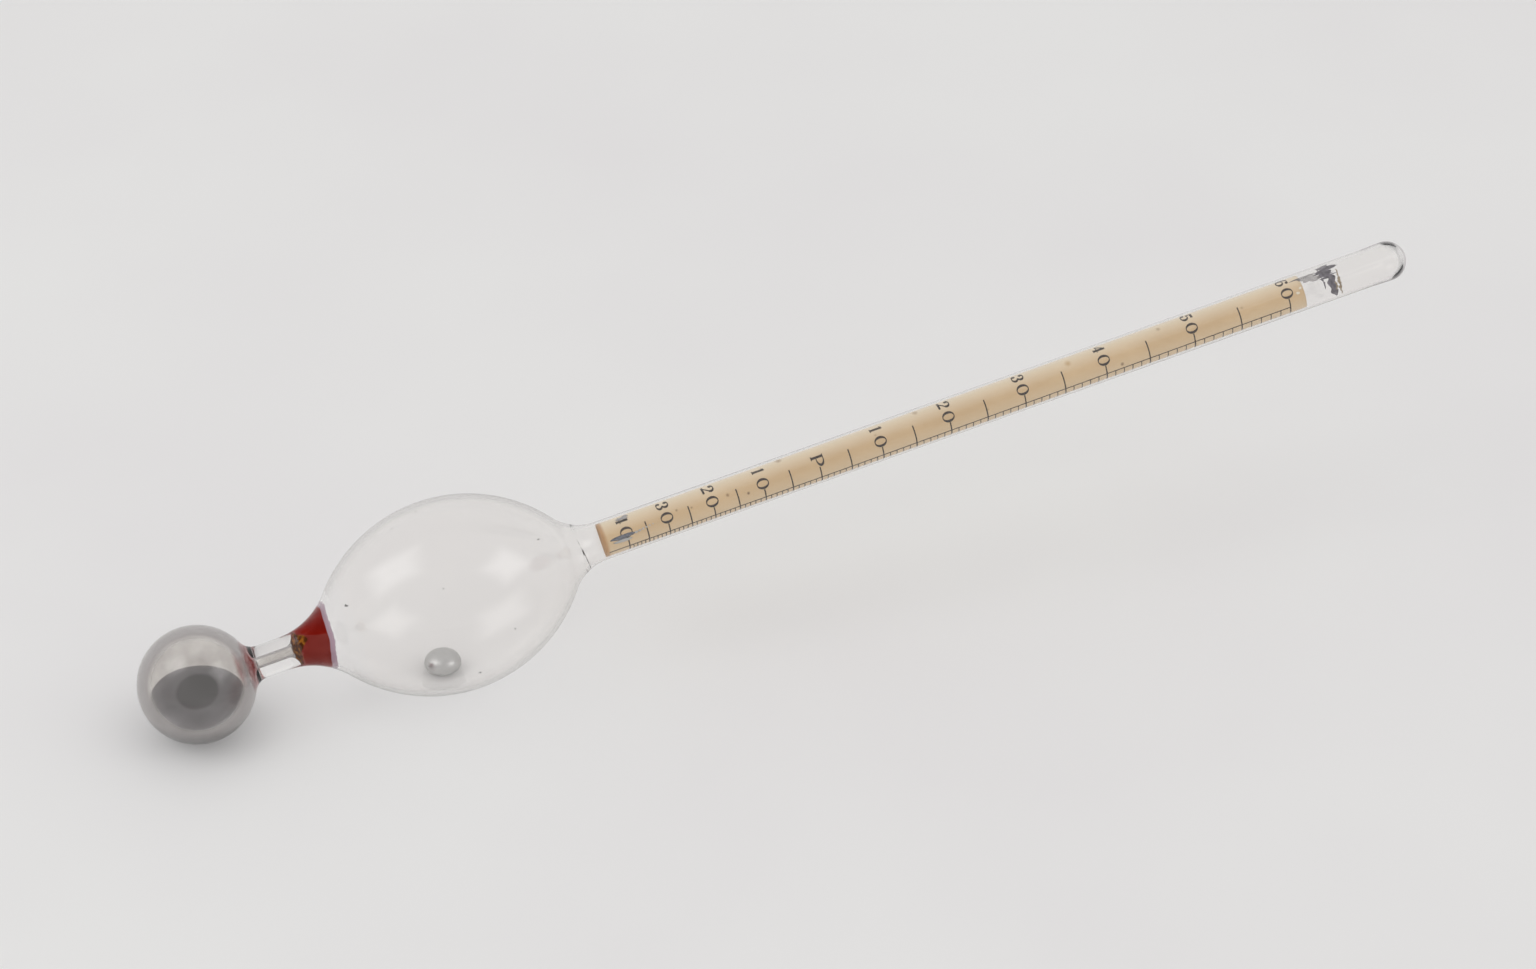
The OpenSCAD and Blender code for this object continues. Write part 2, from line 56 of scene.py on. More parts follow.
# The camera, fitted to the outline in the photograph: degrees, metres, and millimetres for lens and sensor
viewForm = dict(azimuth=20.814, elevation=37.0, distance=0.997013, lens=115.0, sensor=36.0,
                target=(-0.004483, 0.0, 0.029155), clip=(0.01, 60.0))

# Derived as in the solid model: both bulbs touch the table
bellyRise = glassForm["bellyArc"] - glassForm["floatR"]
tilt = (
    math.asin((glassForm["bellyArc"] - glassForm["ballR"]) / math.hypot(glassForm["floatT"], bellyRise))
    - math.atan2(bellyRise, glassForm["floatT"])
)
midX = (glassForm["tipT"] * math.cos(tilt) + glassForm["tipR"] - glassForm["ballR"]) / 2
ballCentre = np.array([-midX, 0.0, glassForm["ballR"]])
alongDir = np.array([math.cos(tilt), 0.0, math.sin(tilt)])
downDir = np.array([math.sin(tilt), 0.0, -math.cos(tilt)])
sideDir = np.array([0.0, 1.0, 0.0])


def lying(points):  # instrument coordinates (down, side, t) in mm to places on the table in metres
    p = np.asarray(points, float)
    return (ballCentre + p[..., :1] * downDir + p[..., 1:2] * sideDir + p[..., 2:3] * alongDir) / 1000


def polar(t, r, turn):  # a place t along, r from the middle line and turned by degrees from the underside
    a = np.radians(turn)
    t, r, a = np.broadcast_arrays(t, r, a)
    return np.stack([r * np.cos(a), r * np.sin(a), t], -1)


# Meshes from grids of points
def gridFaces(rows, cols, wrapRows=False, wrapCols=True):  # four corners of each cell of a grid of points
    i = np.arange(rows if wrapRows else rows - 1)[:, None]
    j = np.arange(cols if wrapCols else cols - 1)[None, :]
    i2, j2 = (i + 1) % rows, (j + 1) % cols
    return np.stack([i * cols + j, i * cols + j2, i2 * cols + j2, i2 * cols + j], -1).reshape(-1, 4)


def skinOf(rings, poles=None, wrapRows=False):
    # rings (rows, cols, 3) joined into a closed skin; poles are the two end points, if it has ends
    rows, cols = rings.shape[:2]
    points = rings.reshape(-1, 3)
    quads = gridFaces(rows, cols, wrapRows)
    fans = np.zeros((0, 3), int)
    if poles is not None:
        j = np.arange(cols)
        j2 = (j + 1) % cols
        first, last = rows * cols, rows * cols + 1
        fans = np.concatenate([
            np.stack([np.full(cols, first), j2, j], 1),
            np.stack([np.full(cols, last), (rows - 1) * cols + j, (rows - 1) * cols + j2], 1),
        ])
        points = np.concatenate([points, np.asarray(poles, float)])
    return points, quads, fans


def facing(skin, inward=False):
    # the same skin with its faces turned outwards, told by the sign of the volume it holds
    points, quads, fans = skin
    tris = np.concatenate([quads[:, [0, 1, 2]], quads[:, [0, 2, 3]], fans])
    a, b, c = (points[tris[:, k]] for k in range(3))
    middle = points.mean(0)
    volume = np.einsum("ij,ij->i", a - middle, np.cross(b - middle, c - middle)).sum()
    if (volume < 0) != inward:
        quads, fans = quads[:, ::-1], fans[:, ::-1]
    return points, quads, fans


def makePiece(name, skins, material, body, replaced=()):
    # one smooth-shaded object from skins given in instrument coordinates
    points, faces, start = [], [], 0
    for skinPoints, quads, fans in skins:
        points.append(lying(skinPoints))
        faces += (quads + start).tolist() + (fans + start).tolist()
        start += len(skinPoints)
    mesh = bpy.data.meshes.new(name)
    mesh.from_pydata(np.concatenate(points).tolist(), [], faces)
    mesh.polygons.foreach_set("use_smooth", np.ones(len(faces), bool))
    mesh.materials.append(material)
    mesh.update()
    piece = bpy.data.objects.new(name, mesh)
    bpy.context.scene.collection.objects.link(piece)
    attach(piece, body)
    if replaced:
        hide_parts(*replaced)
    return piece


# Outlines (r, t) of the glass
def arc(centreR, centreT, radius, fromA, toA, step=2.0):  # part of a circle, between two angles in degrees
    a = np.radians(np.linspace(fromA, toA, max(3, int(abs(toA - fromA) / step) + 2)))
    return np.stack([centreR + radius * np.cos(a), centreT + radius * np.sin(a)], 1)


def angleOf(rise, run):  # the direction of a rise over a run, in degrees
    return math.degrees(math.atan2(rise, run))


def evenly(outline, step=6.0, fine=()):
    # the outline with its repeats dropped, its long stretches cut into steps, and points added at fine
    # places t; a step is left out where a point lies nearer than a share of it
    sameMm, nearShare = 1e-6, 0.4
    gaps = np.hypot(*np.diff(outline, axis=0).T)
    outline = outline[np.concatenate([[True], gaps > sameMm])]
    s = np.concatenate([[0], np.cumsum(np.hypot(*np.diff(outline, axis=0).T))])
    fill = np.arange(step / 2, s[-1], step)
    fill = fill[np.abs(fill[:, None] - s[None, :]).min(1) > step * nearShare]
    closer = np.interp(fine, outline[:, 1], s)
    at = np.unique(np.concatenate([s, fill, closer]).round(6))
    return np.stack([np.interp(at, s, outline[:, 0]), np.interp(at, s, outline[:, 1])], 1)


# Slight marks of the hand: out-of-round in mm, and the fine raised ring of the weld at the stem's foot
handMarks = dict(oval=0.05, bulbHalf=16, stemOval=0.015, ovalTwist=1.5, weldT=81.4, weldRise=0.09,
                 weldWidth=0.16, weldWave=0.35, weldTurn=60)

# The throat, where wax and resin need a fine mesh
throatFine = dict(fromT=19.2, toT=33.0, step=0.3)


def glassOutlines(f):
    # outer and inner outline: circles for bulbs, fillets and flares that touch each other, and straight
    # tubes between them
    bellyC = f["floatR"] - f["bellyArc"]
    ballIn, bellyIn = f["ballR"] - f["ballWall"], f["bellyArc"] - f["floatWall"]
    stemIn = f["stemR"] - f["stemWall"]

    def flareT(belly, tube, flare, side):  # the place t of a flare's centre, so that its circle touches both
        return f["floatT"] + side * math.sqrt((belly + flare) ** 2 - (tube + flare - bellyC) ** 2)

    collarR = f["neckR"] + f["collarFillet"]
    collarT = math.sqrt((f["ballR"] + f["collarFillet"]) ** 2 - collarR ** 2)
    neckC = f["neckR"] + f["neckFlare"]
    neckT = flareT(f["bellyArc"], f["neckR"], f["neckFlare"], -1)
    stemC = f["stemR"] + f["stemFlare"]
    stemT = flareT(f["bellyArc"], f["stemR"], f["stemFlare"], 1)
    collarA = angleOf(collarT, collarR)
    neckA = angleOf(f["floatT"] - neckT, bellyC - neckC)
    stemA = angleOf(stemT - f["floatT"], stemC - bellyC)
    outer = np.concatenate([
        arc(0, 0, f["ballR"], -90, collarA),
        arc(collarR, collarT, f["collarFillet"], 180 + collarA, 180),
        arc(neckC, neckT, f["neckFlare"], 180, neckA),
        arc(bellyC, f["floatT"], f["bellyArc"], neckA - 180, stemA, 1.0),
        arc(stemC, stemT, f["stemFlare"], 180 + stemA, 180),
        [[f["stemR"], f["tipWeldT"]]],
        arc(0, f["tipT"], f["tipR"], 0, 90, 4.0),
    ])
    throatR = f["boreR"] + f["throatFillet"]
    throatT = math.sqrt((ballIn + f["throatFillet"]) ** 2 - throatR ** 2)
    throatA = angleOf(throatT, throatR)
    mouthC, inR = f["boreR"] + f["mouthFillet"], f["neckFlare"] + f["neckFlareWall"]
    inT = f["floatT"] - math.sqrt((bellyIn + inR) ** 2 - (neckC - bellyC) ** 2)
    gap = math.hypot(neckC - mouthC, inT - f["mouthT"])
    reach = (gap ** 2 + f["mouthFillet"] ** 2 - inR ** 2) / (2 * gap)
    mouthA = angleOf(inT - f["mouthT"], neckC - mouthC) + math.degrees(math.acos(reach / f["mouthFillet"]))
    mouthEnd = arc(mouthC, f["mouthT"], f["mouthFillet"], 180, mouthA % 360, 5.0)
    inA = angleOf(mouthEnd[-1, 1] - inT, mouthEnd[-1, 0] - neckC) % 360
    inEndA = angleOf(f["floatT"] - inT, bellyC - neckC)
    stemInT = flareT(bellyIn, stemIn, f["stemFlare"], 1)
    stemInC = stemIn + f["stemFlare"]
    stemInA = angleOf(stemInT - f["floatT"], stemInC - bellyC)
    tipIn = f["tipT"] + f["tipR"] - f["tipWall"] - stemIn
    inner = np.concatenate([
        arc(0, 0, ballIn, -90, throatA),
        arc(throatR, throatT, f["throatFillet"], 180 + throatA, 180, 5.0),
        mouthEnd,
        arc(neckC, inT, inR, inA, inEndA),
        arc(bellyC, f["floatT"], bellyIn, inEndA - 180, stemInA, 1.0),
        arc(stemInC, stemInT, f["stemFlare"], 180 + stemInA, 180),
        arc(0, tipIn, stemIn, 0, 90, 4.0),
    ])
    weld = handMarks["weldT"] + handMarks["weldWidth"] * np.linspace(-4, 4, 25)
    throat = np.arange(throatFine["fromT"], throatFine["toT"], throatFine["step"])
    return evenly(outer, fine=weld), evenly(inner, fine=throat)


def spun(outline, cols=140, swell=None):
    # an outline turned about the middle line; swell(t, turn) adds to the radius, fading to none at the poles
    fadeR = 2
    turn = np.arange(cols) * 360 / cols
    r, t = outline[1:-1, :1], outline[1:-1, 1:]
    if swell is not None:
        r = r + swell(t, turn[None, :]) * np.clip(r / fadeR, 0, 1)
    rings = polar(t + 0 * turn, r, turn[None, :])
    return skinOf(rings, [[0, 0, outline[0, 1]], [0, 0, outline[-1, 1]]])


def bump(t, centre, width):  # a bell curve: e to the minus square of the way out, in widths
    return np.exp(-(((t - centre) / width) ** 2))


# Materials
def linearOf(hexColour):  # an sRGB hex colour as Blender's linear red, green, blue and alpha
    c = np.array([int(hexColour[k:k + 2], 16) for k in (0, 2, 4)]) / 255
    c = np.where(c <= 0.04045, c / 12.92, ((c + 0.055) / 1.055) ** 2.4)
    return (*c.tolist(), 1.0)


def addNode(tree, kind, sockets=None, **settings):  # a node with its settings, fixed inputs and links
    node = tree.nodes.new(kind)
    for key, value in settings.items():
        setattr(node, key, value)
    for key, value in (sockets or {}).items():
        if isinstance(value, bpy.types.NodeSocket):
            tree.links.new(value, node.inputs[key])
        else:
            node.inputs[key].default_value = value
    return node


def newMaterial(name):
    material = bpy.data.materials.new(name)
    material.use_nodes = True
    material.node_tree.nodes.clear()
    return material, material.node_tree


def patchy(tree, patchMm, colours, detail=3.0, stretch=(1, 1, 1), contrast=(0.35, 0.65)):
    # two colours mixed in cloudy patches of a real size in mm, in Object coordinates
    place = addNode(tree, "ShaderNodeTexCoord").outputs["Object"]
    place = addNode(tree, "ShaderNodeMapping", {"Vector": place, "Scale": stretch}).outputs[0]
    noise = addNode(tree, "ShaderNodeTexNoise", {
        "Vector": place, "Scale": 1000 / patchMm, "Detail": detail})
    share = addNode(tree, "ShaderNodeMapRange", {
        "Value": noise.outputs["Fac"], "From Min": contrast[0], "From Max": contrast[1]}).outputs[0]
    mix = addNode(tree, "ShaderNodeMix", {0: share, 6: linearOf(colours[0]), 7: linearOf(colours[1])},
                  data_type="RGBA")
    return mix.outputs[2], noise.outputs["Fac"]


def finish(tree, shader):
    addNode(tree, "ShaderNodeOutputMaterial", {"Surface": shader})


def plainFinish(name, colours, patchMm, roughness, bumpMm=0.0, bumpPatchMm=1.0, **fixed):
    # a patchy colour, and where bumpMm is given a fine relief, under constant Principled values
    material, tree = newMaterial(name)
    colour = patchy(tree, patchMm, colours)[0]
    sockets = {"Base Color": colour, "Roughness": roughness}
    sockets.update({key.replace("_", " "): value for key, value in fixed.items()})
    if bumpMm:
        height = patchy(tree, bumpPatchMm, ("000000", "ffffff"))[1]
        sockets["Normal"] = addNode(tree, "ShaderNodeBump", {
            "Height": height, "Distance": bumpMm / 1000}).outputs[0]
    finish(tree, addNode(tree, "ShaderNodeBsdfPrincipled", sockets).outputs[0])
    return material


def alongStem(tree):  # the place t along the instrument in mm, from Object coordinates
    place = addNode(tree, "ShaderNodeTexCoord").outputs["Object"]
    fromBall = addNode(tree, "ShaderNodeVectorMath", {0: place, 1: tuple(ballCentre / 1000)},
                       operation="SUBTRACT").outputs[0]
    return addNode(tree, "ShaderNodeVectorMath", {0: fromBall, 1: tuple(alongDir * 1000)},
                   operation="DOT_PRODUCT").outputs["Value"]


def lettingLightIn(tree, shader, share):
    # what lies behind is lit straight through: shadow and diffuse rays pass, dimmed to a share
    path = addNode(tree, "ShaderNodeLightPath")
    lighting = addNode(tree, "ShaderNodeMath", {
        0: path.outputs["Is Shadow Ray"], 1: path.outputs["Is Diffuse Ray"]}, operation="MAXIMUM").outputs[0]
    clear = addNode(tree, "ShaderNodeBsdfTransparent", {"Color": (share, share, share, 1.0)}).outputs[0]
    return addNode(tree, "ShaderNodeMixShader", {0: lighting, 1: shader, 2: clear}).outputs[0]


# Lamp-blown soda-lime glass: clear, faintly warm, fire-polished, so it is smooth with a slow ripple. On the
# float, the stem and the thick tip a grey is painted on where it is seen aslant: painted light that softens
# the dark edges of the glass, strongest at the tip. Over the wax its glint takes the red of the wax
def lampBlownGlass(name="lampBlownGlass", paintedEdge=0.0, paintedEdgeTone="cfccc9", glint="ffffff"):
    look = dict(tint="fdfcfb", ior=1.52, rippleMm=0.006, ripplePatchMm=9.0, aslant=(0.4, 0.95),
                lightShare=0.99)
    material, tree = newMaterial(name)
    ripples = patchy(tree, look["ripplePatchMm"], ("000000", "ffffff"), 1.0)[1]
    ripple = addNode(tree, "ShaderNodeBump", {"Height": ripples, "Distance": look["rippleMm"] / 1000})
    glass = addNode(tree, "ShaderNodeBsdfPrincipled", {
        "Base Color": linearOf(look["tint"]), "Roughness": 0.0, "IOR": look["ior"],
        "Transmission Weight": 1.0, "Specular Tint": linearOf(glint), "Normal": ripple.outputs[0]})
    # painted light: a grey laid on where the glass is seen aslant, softening its dark edges
    if paintedEdge:
        facing = addNode(tree, "ShaderNodeLayerWeight").outputs["Facing"]
        aslant = addNode(tree, "ShaderNodeMapRange", {
            "Value": facing, "From Min": look["aslant"][0], "From Max": look["aslant"][1]},
            interpolation_type="SMOOTHSTEP").outputs[0]
        tone = addNode(tree, "ShaderNodeMix", {
            0: aslant, 6: linearOf(look["tint"]), 7: linearOf(paintedEdgeTone)}, data_type="RGBA").outputs[2]
        clear = addNode(tree, "ShaderNodeMapRange", {
            "Value": aslant, "To Min": 1.0, "To Max": 1 - paintedEdge}).outputs[0]
        tree.links.new(tone, glass.inputs["Base Color"])
        tree.links.new(clear, glass.inputs["Transmission Weight"])
    finish(tree, lettingLightIn(tree, glass.outputs[0], look["lightShare"]))
    return material


# The same glass where mercury has clouded it inside. The film is thin: seen square on it is nearly clear,
# seen aslant through the wall it is grey and dull, and darker where mercury wets it at the bottom. Towards
# the neck it is stained maroon
def cloudedGlass():
    look = dict(film=("c6c1bc", "e9e5e0"), patchMm=6.0, aslant="9b9695", wetTone="5e5b5b", wetMm=(4.0, 9.2),
                stain="8a4c4c", stainT=10.4, stainHalfMm=1.5, turned=(0.16, 0.24), clear=0.94,
                aslantClear=0.12, roughness=0.0, ior=1.52, lightShare=0.8)
    material, tree = newMaterial("cloudedGlass")
    film = patchy(tree, look["patchMm"], look["film"])[0]
    fromGlass = addNode(tree, "ShaderNodeNewGeometry").outputs["Backfacing"]
    aslant = addNode(tree, "ShaderNodeMapRange", {
        "Value": addNode(tree, "ShaderNodeLayerWeight").outputs["Facing"],
        "From Min": look["turned"][0], "From Max": look["turned"][1]},
        interpolation_type="SMOOTHSTEP").outputs[0]
    aslant = addNode(tree, "ShaderNodeMath", {0: aslant, 1: fromGlass}, operation="MULTIPLY").outputs[0]
    height = addNode(tree, "ShaderNodeSeparateXYZ", {
        0: addNode(tree, "ShaderNodeTexCoord").outputs["Object"]}).outputs["Z"]
    wet = addNode(tree, "ShaderNodeMapRange", {
        "Value": height, "From Min": look["wetMm"][1] / 1000, "From Max": look["wetMm"][0] / 1000},
        interpolation_type="SMOOTHSTEP").outputs[0]
    rim = addNode(tree, "ShaderNodeMix", {0: wet, 6: linearOf(look["aslant"]), 7: linearOf(look["wetTone"])},
                  data_type="RGBA").outputs[2]
    grey = addNode(tree, "ShaderNodeMix", {0: aslant, 6: film, 7: rim}, data_type="RGBA").outputs[2]
    fromStain = addNode(tree, "ShaderNodeMath", {0: alongStem(tree), 1: look["stainT"]},
                        operation="SUBTRACT").outputs[0]
    away = addNode(tree, "ShaderNodeMath", {0: fromStain}, operation="ABSOLUTE").outputs[0]
    stained = addNode(tree, "ShaderNodeMapRange", {
        "Value": away, "From Min": look["stainHalfMm"], "From Max": look["stainHalfMm"] / 2}).outputs[0]
    colour = addNode(tree, "ShaderNodeMix", {0: stained, 6: grey, 7: linearOf(look["stain"])},
                     data_type="RGBA").outputs[2]
    clear = addNode(tree, "ShaderNodeMapRange", {
        "Value": aslant, "To Min": look["clear"], "To Max": look["aslantClear"]}).outputs[0]
    glass = addNode(tree, "ShaderNodeBsdfPrincipled", {
        "Base Color": colour, "Roughness": look["roughness"], "IOR": look["ior"],
        "Transmission Weight": clear})
    finish(tree, lettingLightIn(tree, glass.outputs[0], look["lightShare"]))
    return material


# Glass that the wax has run onto from inside: brown resin at the mouth of the bore, then deep red wax,
# brighter above and duller below, then a lilac skin of thinned wax that has crept on
def waxedGlass():
    look = dict(resin=("4a2813", "945c1f"), resinMm=0.9, resinEnd=2.4, wax=("720f08", "82170c"),
                dull=("782c27", "843731"), waxMm=2.5, skin="a98b9c", skinClear=0.45, skinMm=(0.85, 1.1),
                bare="fdfdfd", resinContrast=(0.5, 0.62), wobbleMm=1.2, wobble=1.2, wobbleSpan=(0.3, 0.7),
                rimSoft=0.04, resinSoft=0.12, skinSoft=0.08, roughness=0.3, ior=1.52, lightShare=0.96)
    material, tree = newMaterial("waxedGlass")
    place = addNode(tree, "ShaderNodeAttribute", attribute_name="waxPlace").outputs["Vector"]
    parts = addNode(tree, "ShaderNodeSeparateXYZ", {0: place})
    pastRim, pastMouth, below = (parts.outputs[k] for k in range(3))

    def step(value, at, soft):  # 0 below a value, 1 above it, with a soft edge
        return addNode(tree, "ShaderNodeMapRange", {
            "Value": value, "From Min": at - soft, "From Max": at + soft},
            interpolation_type="SMOOTHSTEP").outputs[0]

    def over(share, below, above):  # one colour laid over another by a share
        return addNode(tree, "ShaderNodeMix", {0: share, 6: below, 7: above}, data_type="RGBA").outputs[2]

    wobble = patchy(tree, look["wobbleMm"], ("000000", "ffffff"), 2.0)[1]
    edge = addNode(tree, "ShaderNodeMath", {
        0: wobble, 1: look["wobble"], 2: pastMouth}, operation="MULTIPLY_ADD").outputs[0]
    width = addNode(tree, "ShaderNodeMapRange", {
        "Value": wobble, "From Min": look["wobbleSpan"][0], "From Max": look["wobbleSpan"][1],
        "To Min": look["skinMm"][0], "To Max": look["skinMm"][1]}).outputs[0]
    beyond = addNode(tree, "ShaderNodeMath", {0: pastRim, 1: width}, operation="SUBTRACT").outputs[0]
    onSkin, onBare = step(pastRim, 0.0, look["rimSoft"]), step(beyond, 0.0, look["skinSoft"])
    red = over(step(below, 0.0, look["rimSoft"]), patchy(tree, look["waxMm"], look["wax"])[0],
               patchy(tree, look["waxMm"], look["dull"])[0])
    brown = patchy(tree, look["resinMm"], look["resin"], contrast=look["resinContrast"])[0]
    colour = over(step(edge, look["resinEnd"] + look["wobble"] / 2, look["resinSoft"]), brown, red)
    colour = over(onSkin, colour, linearOf(look["skin"]))
    colour = over(onBare, colour, linearOf(look["bare"]))
    seeThrough = addNode(tree, "ShaderNodeMath", {
        0: onSkin, 1: look["skinClear"]}, operation="MULTIPLY").outputs[0]
    seeThrough = addNode(tree, "ShaderNodeMath", {0: seeThrough, 1: onBare}, operation="MAXIMUM").outputs[0]
    rough = addNode(tree, "ShaderNodeMapRange", {
        "Value": onBare, "To Min": look["roughness"], "To Max": 0.0}).outputs[0]
    glass = addNode(tree, "ShaderNodeBsdfPrincipled", {
        "Base Color": colour, "Roughness": rough, "IOR": look["ior"], "Specular IOR Level": 0.0,
        "Transmission Weight": seeThrough})
    finish(tree, lettingLightIn(tree, glass.outputs[0], look["lightShare"]))
    return material


# Liquid mercury under a grey skin: a metal mirror, dulled, with a painted reflection: a dark oval painted in
# the middle of its level top
def skinnedMercury():
    look = dict(rim=("737277", "7c7a7f"), patchMm=4.0, middle="4a494b", paintedReflectionMm=(4.2, 5.6),
                edge=(1.08, 0.92), roughness=0.35)
    material, tree = newMaterial("skinnedMercury")
    rim = patchy(tree, look["patchMm"], look["rim"])[0]
    place = addNode(tree, "ShaderNodeTexCoord").outputs["Object"]
    # the middle colour and its size: a dark oval painted as a reflection in the middle of the level top,
    # turned square to the camera
    width, depth = (size / 1000 for size in look["paintedReflectionMm"])
    middle = addNode(tree, "ShaderNodeMapping", {
        "Vector": place, "Location": tuple((ballCentre - [0, 0, poolForm["level"]]) / 1000),
        "Rotation": (0, 0, -math.radians(viewForm["azimuth"])), "Scale": (width, depth, width)},
        vector_type="TEXTURE").outputs[0]
    out = addNode(tree, "ShaderNodeVectorMath", {0: middle}, operation="LENGTH").outputs["Value"]
    share = addNode(tree, "ShaderNodeMapRange", {
        "Value": out, "From Min": look["edge"][0], "From Max": look["edge"][1]}).outputs[0]
    colour = addNode(tree, "ShaderNodeMix", {0: share, 6: rim, 7: linearOf(look["middle"])},
                     data_type="RGBA").outputs[2]
    finish(tree, addNode(tree, "ShaderNodeBsdfPrincipled", {
        "Base Color": colour, "Metallic": 1.0, "Roughness": look["roughness"]}).outputs[0])
    return material


# Mercury drops under a thinner skin: a grey mirror
def greyMercury():
    return plainFinish("greyMercury", ("bfbfbe", "c8c8c7"), 2.0, 0.35, Metallic=1.0)


# Mercury smeared thin on the glass: dark grey-blue metal
def smearedMercury():
    return plainFinish("smearedMercury", ("565a66", "83868f"), 1.2, 0.25, Metallic=0.9)


# Mercury dust: a thin pale haze on the glass
def mercuryHaze():
    return plainFinish("mercuryHaze", ("a7a4a6", "bfbab8"), 0.5, 0.4, Alpha=0.7)


# Red shellac sealing wax, melted in: deep satin red with slow clouds
def redSealingWax():
    return plainFinish("redSealingWax", ("74160f", "852218"), 3.0, 0.5, 0.02, 0.8)


# Dark brown resin-soaked stopper with amber edges
def brownResin():
    return plainFinish("brownResin", ("3a2217", "a06a22"), 1.3, 0.3, 0.02, 0.6)


# Old cement with grey mercury dust in it: dark, dull, crumbly
def darkCement():
    return plainFinish("darkCement", ("3c383f", "77717a"), 0.7, 0.6, 0.05, 0.3)


# The same cement thinned to a grey smear
def thinCement():
    return plainFinish("thinCement", ("8b8787", "a9a5a3"), 1.2, 0.5, Alpha=0.5)


# Brown streaks where the cement has soaked out
def brownCement():
    return plainFinish("brownCement", ("8a7458", "a89878"), 0.5, 0.45, Alpha=0.8)


# Dried glue: a glossy cream drop
def driedGlue():
    return plainFinish("driedGlue", ("f2ead8", "e6dcc4"), 0.6, 0.2)


# Dust and ash caught in the hot glass
def darkSpeck():
    return plainFinish("darkSpeck", ("3c3836", "57534f"), 0.4, 0.7)


# Brown-black printing ink soaked into the paper: matt, a little uneven
def printingInk():
    return plainFinish("printingInk", ("20140a", "3a2716"), 0.5, 0.8)


# Aged rag paper: tan, fibrous, foxed in round spots; lighter over its upper side as painted light, lighter
# and greyer towards its lower side, and browned at its foot end by painted shade for the shaded inside of
# the roll
def agedRagPaper(spots):
    look = dict(light="ddc096", dark="d3b58b", paintedLight="e9dac0", paintedLightTurn=(168.0, 226.0), lowerSideTone="dcc4a0",
                lowerSideTurn=(236.0, 278.0), foot="b98650", footShadeMm=1.1, cloudMm=14.0, fibreMm=0.5,
                fibre="b8966a", fibreShare=0.3, fibreStretch=(0.3, 1, 1), fibreContrast=(0.45, 0.8),
                footShadeCore=0.4, footShadeShare=0.8, spotCore=0.25, reliefMm=0.02, roughness=0.85)
    material, tree = newMaterial("agedRagPaper")
    cloud = patchy(tree, look["cloudMm"], (look["light"], look["dark"]), 4.0)[0]
    fibres = patchy(tree, look["fibreMm"], ("000000", "ffffff"), 2.0, look["fibreStretch"],
                    look["fibreContrast"])[1]
    share = addNode(tree, "ShaderNodeMath", {
        0: fibres, 1: look["fibreShare"]}, operation="MULTIPLY").outputs[0]
    colour = addNode(tree, "ShaderNodeMix", {0: share, 6: cloud, 7: linearOf(look["fibre"])},
                     data_type="RGBA").outputs[2]
    flat = addNode(tree, "ShaderNodeAttribute", attribute_name="unrolled").outputs["Vector"]
    parts = addNode(tree, "ShaderNodeSeparateXYZ", {0: flat})
    # painted light: the paper is made lighter over its upper side
    near, far = (math.radians(turn) * paperForm["outR"] for turn in look["paintedLightTurn"])
    paintedLightShare = addNode(tree, "ShaderNodeMapRange", {
        "Value": parts.outputs["Y"], "From Min": far, "From Max": near}).outputs[0]
    colour = addNode(tree, "ShaderNodeMix", {0: paintedLightShare, 6: colour, 7: linearOf(look["paintedLight"])},
                     data_type="RGBA").outputs[2]
    # lighter and greyer towards the lower side
    near, far = (math.radians(turn) * paperForm["outR"] for turn in look["lowerSideTurn"])
    towardsLowerSide = addNode(tree, "ShaderNodeMapRange", {
        "Value": parts.outputs["Y"], "From Min": near, "From Max": far}).outputs[0]
    colour = addNode(tree, "ShaderNodeMix", {0: towardsLowerSide, 6: colour, 7: linearOf(look["lowerSideTone"])},
                     data_type="RGBA").outputs[2]
    # painted shade: browner at the foot end, standing for the shaded inside of the roll seen through its
    # open end
    footShade = addNode(tree, "ShaderNodeMapRange", {
        "Value": parts.outputs["X"], "From Min": paperForm["startT"] + look["footShadeMm"],
        "From Max": paperForm["startT"] + look["footShadeMm"] * look["footShadeCore"],
        "To Max": look["footShadeShare"]}).outputs[0]
    colour = addNode(tree, "ShaderNodeMix", {0: footShade, 6: colour, 7: linearOf(look["foot"])},
                     data_type="RGBA").outputs[2]
    for spotT, spotTurn, size, strength, tone in spots:
        reach = addNode(tree, "ShaderNodeVectorMath", {
            0: flat, 1: (spotT, math.radians(spotTurn) * paperForm["outR"], 0)}, operation="DISTANCE")
        near = addNode(tree, "ShaderNodeMapRange", {
            "Value": reach.outputs["Value"], "From Min": size, "From Max": size * look["spotCore"],
            "To Max": strength}).outputs[0]
        colour = addNode(tree, "ShaderNodeMix", {0: near, 6: colour, 7: linearOf(tone)},
                         data_type="RGBA").outputs[2]
    relief = addNode(tree, "ShaderNodeBump", {"Height": fibres, "Distance": look["reliefMm"] / 1000})
    finish(tree, addNode(tree, "ShaderNodeBsdfPrincipled", {
        "Base Color": colour, "Roughness": look["roughness"], "Normal": relief.outputs[0]}).outputs[0])
    return material


# The glass, one fused hollow skin
outerGlass, innerGlass = glassOutlines(glassForm)
waxForm = dict(startT=21.0, faceT=27.4, slant=7.2, slantTurn=-45, gap=0.04, dish=0.5, ruffle=0.08,
               ruffleWaves=(5, 11), ruffleShift=40, ruffleShare=0.5, faceFrom=0.97, faceTo=0.06)
# Where along the glass each film and the painted light on its edges starts, and how resin and dull wax lie:
# mm and degrees
filmForm = dict(cloudEnd=20.2, waxedEnd=33.0, paintedEdgeT=30.0, stemT=84.0, tipT=258.0, waxT=24.8, waxHalf=3.4,
                resinTurn=207.0, resinHalf=26.0, resinRise=2.1, dullTurn=223.0, dullSweep=83.0, dullT=21.4,
                dullMm=1.9)


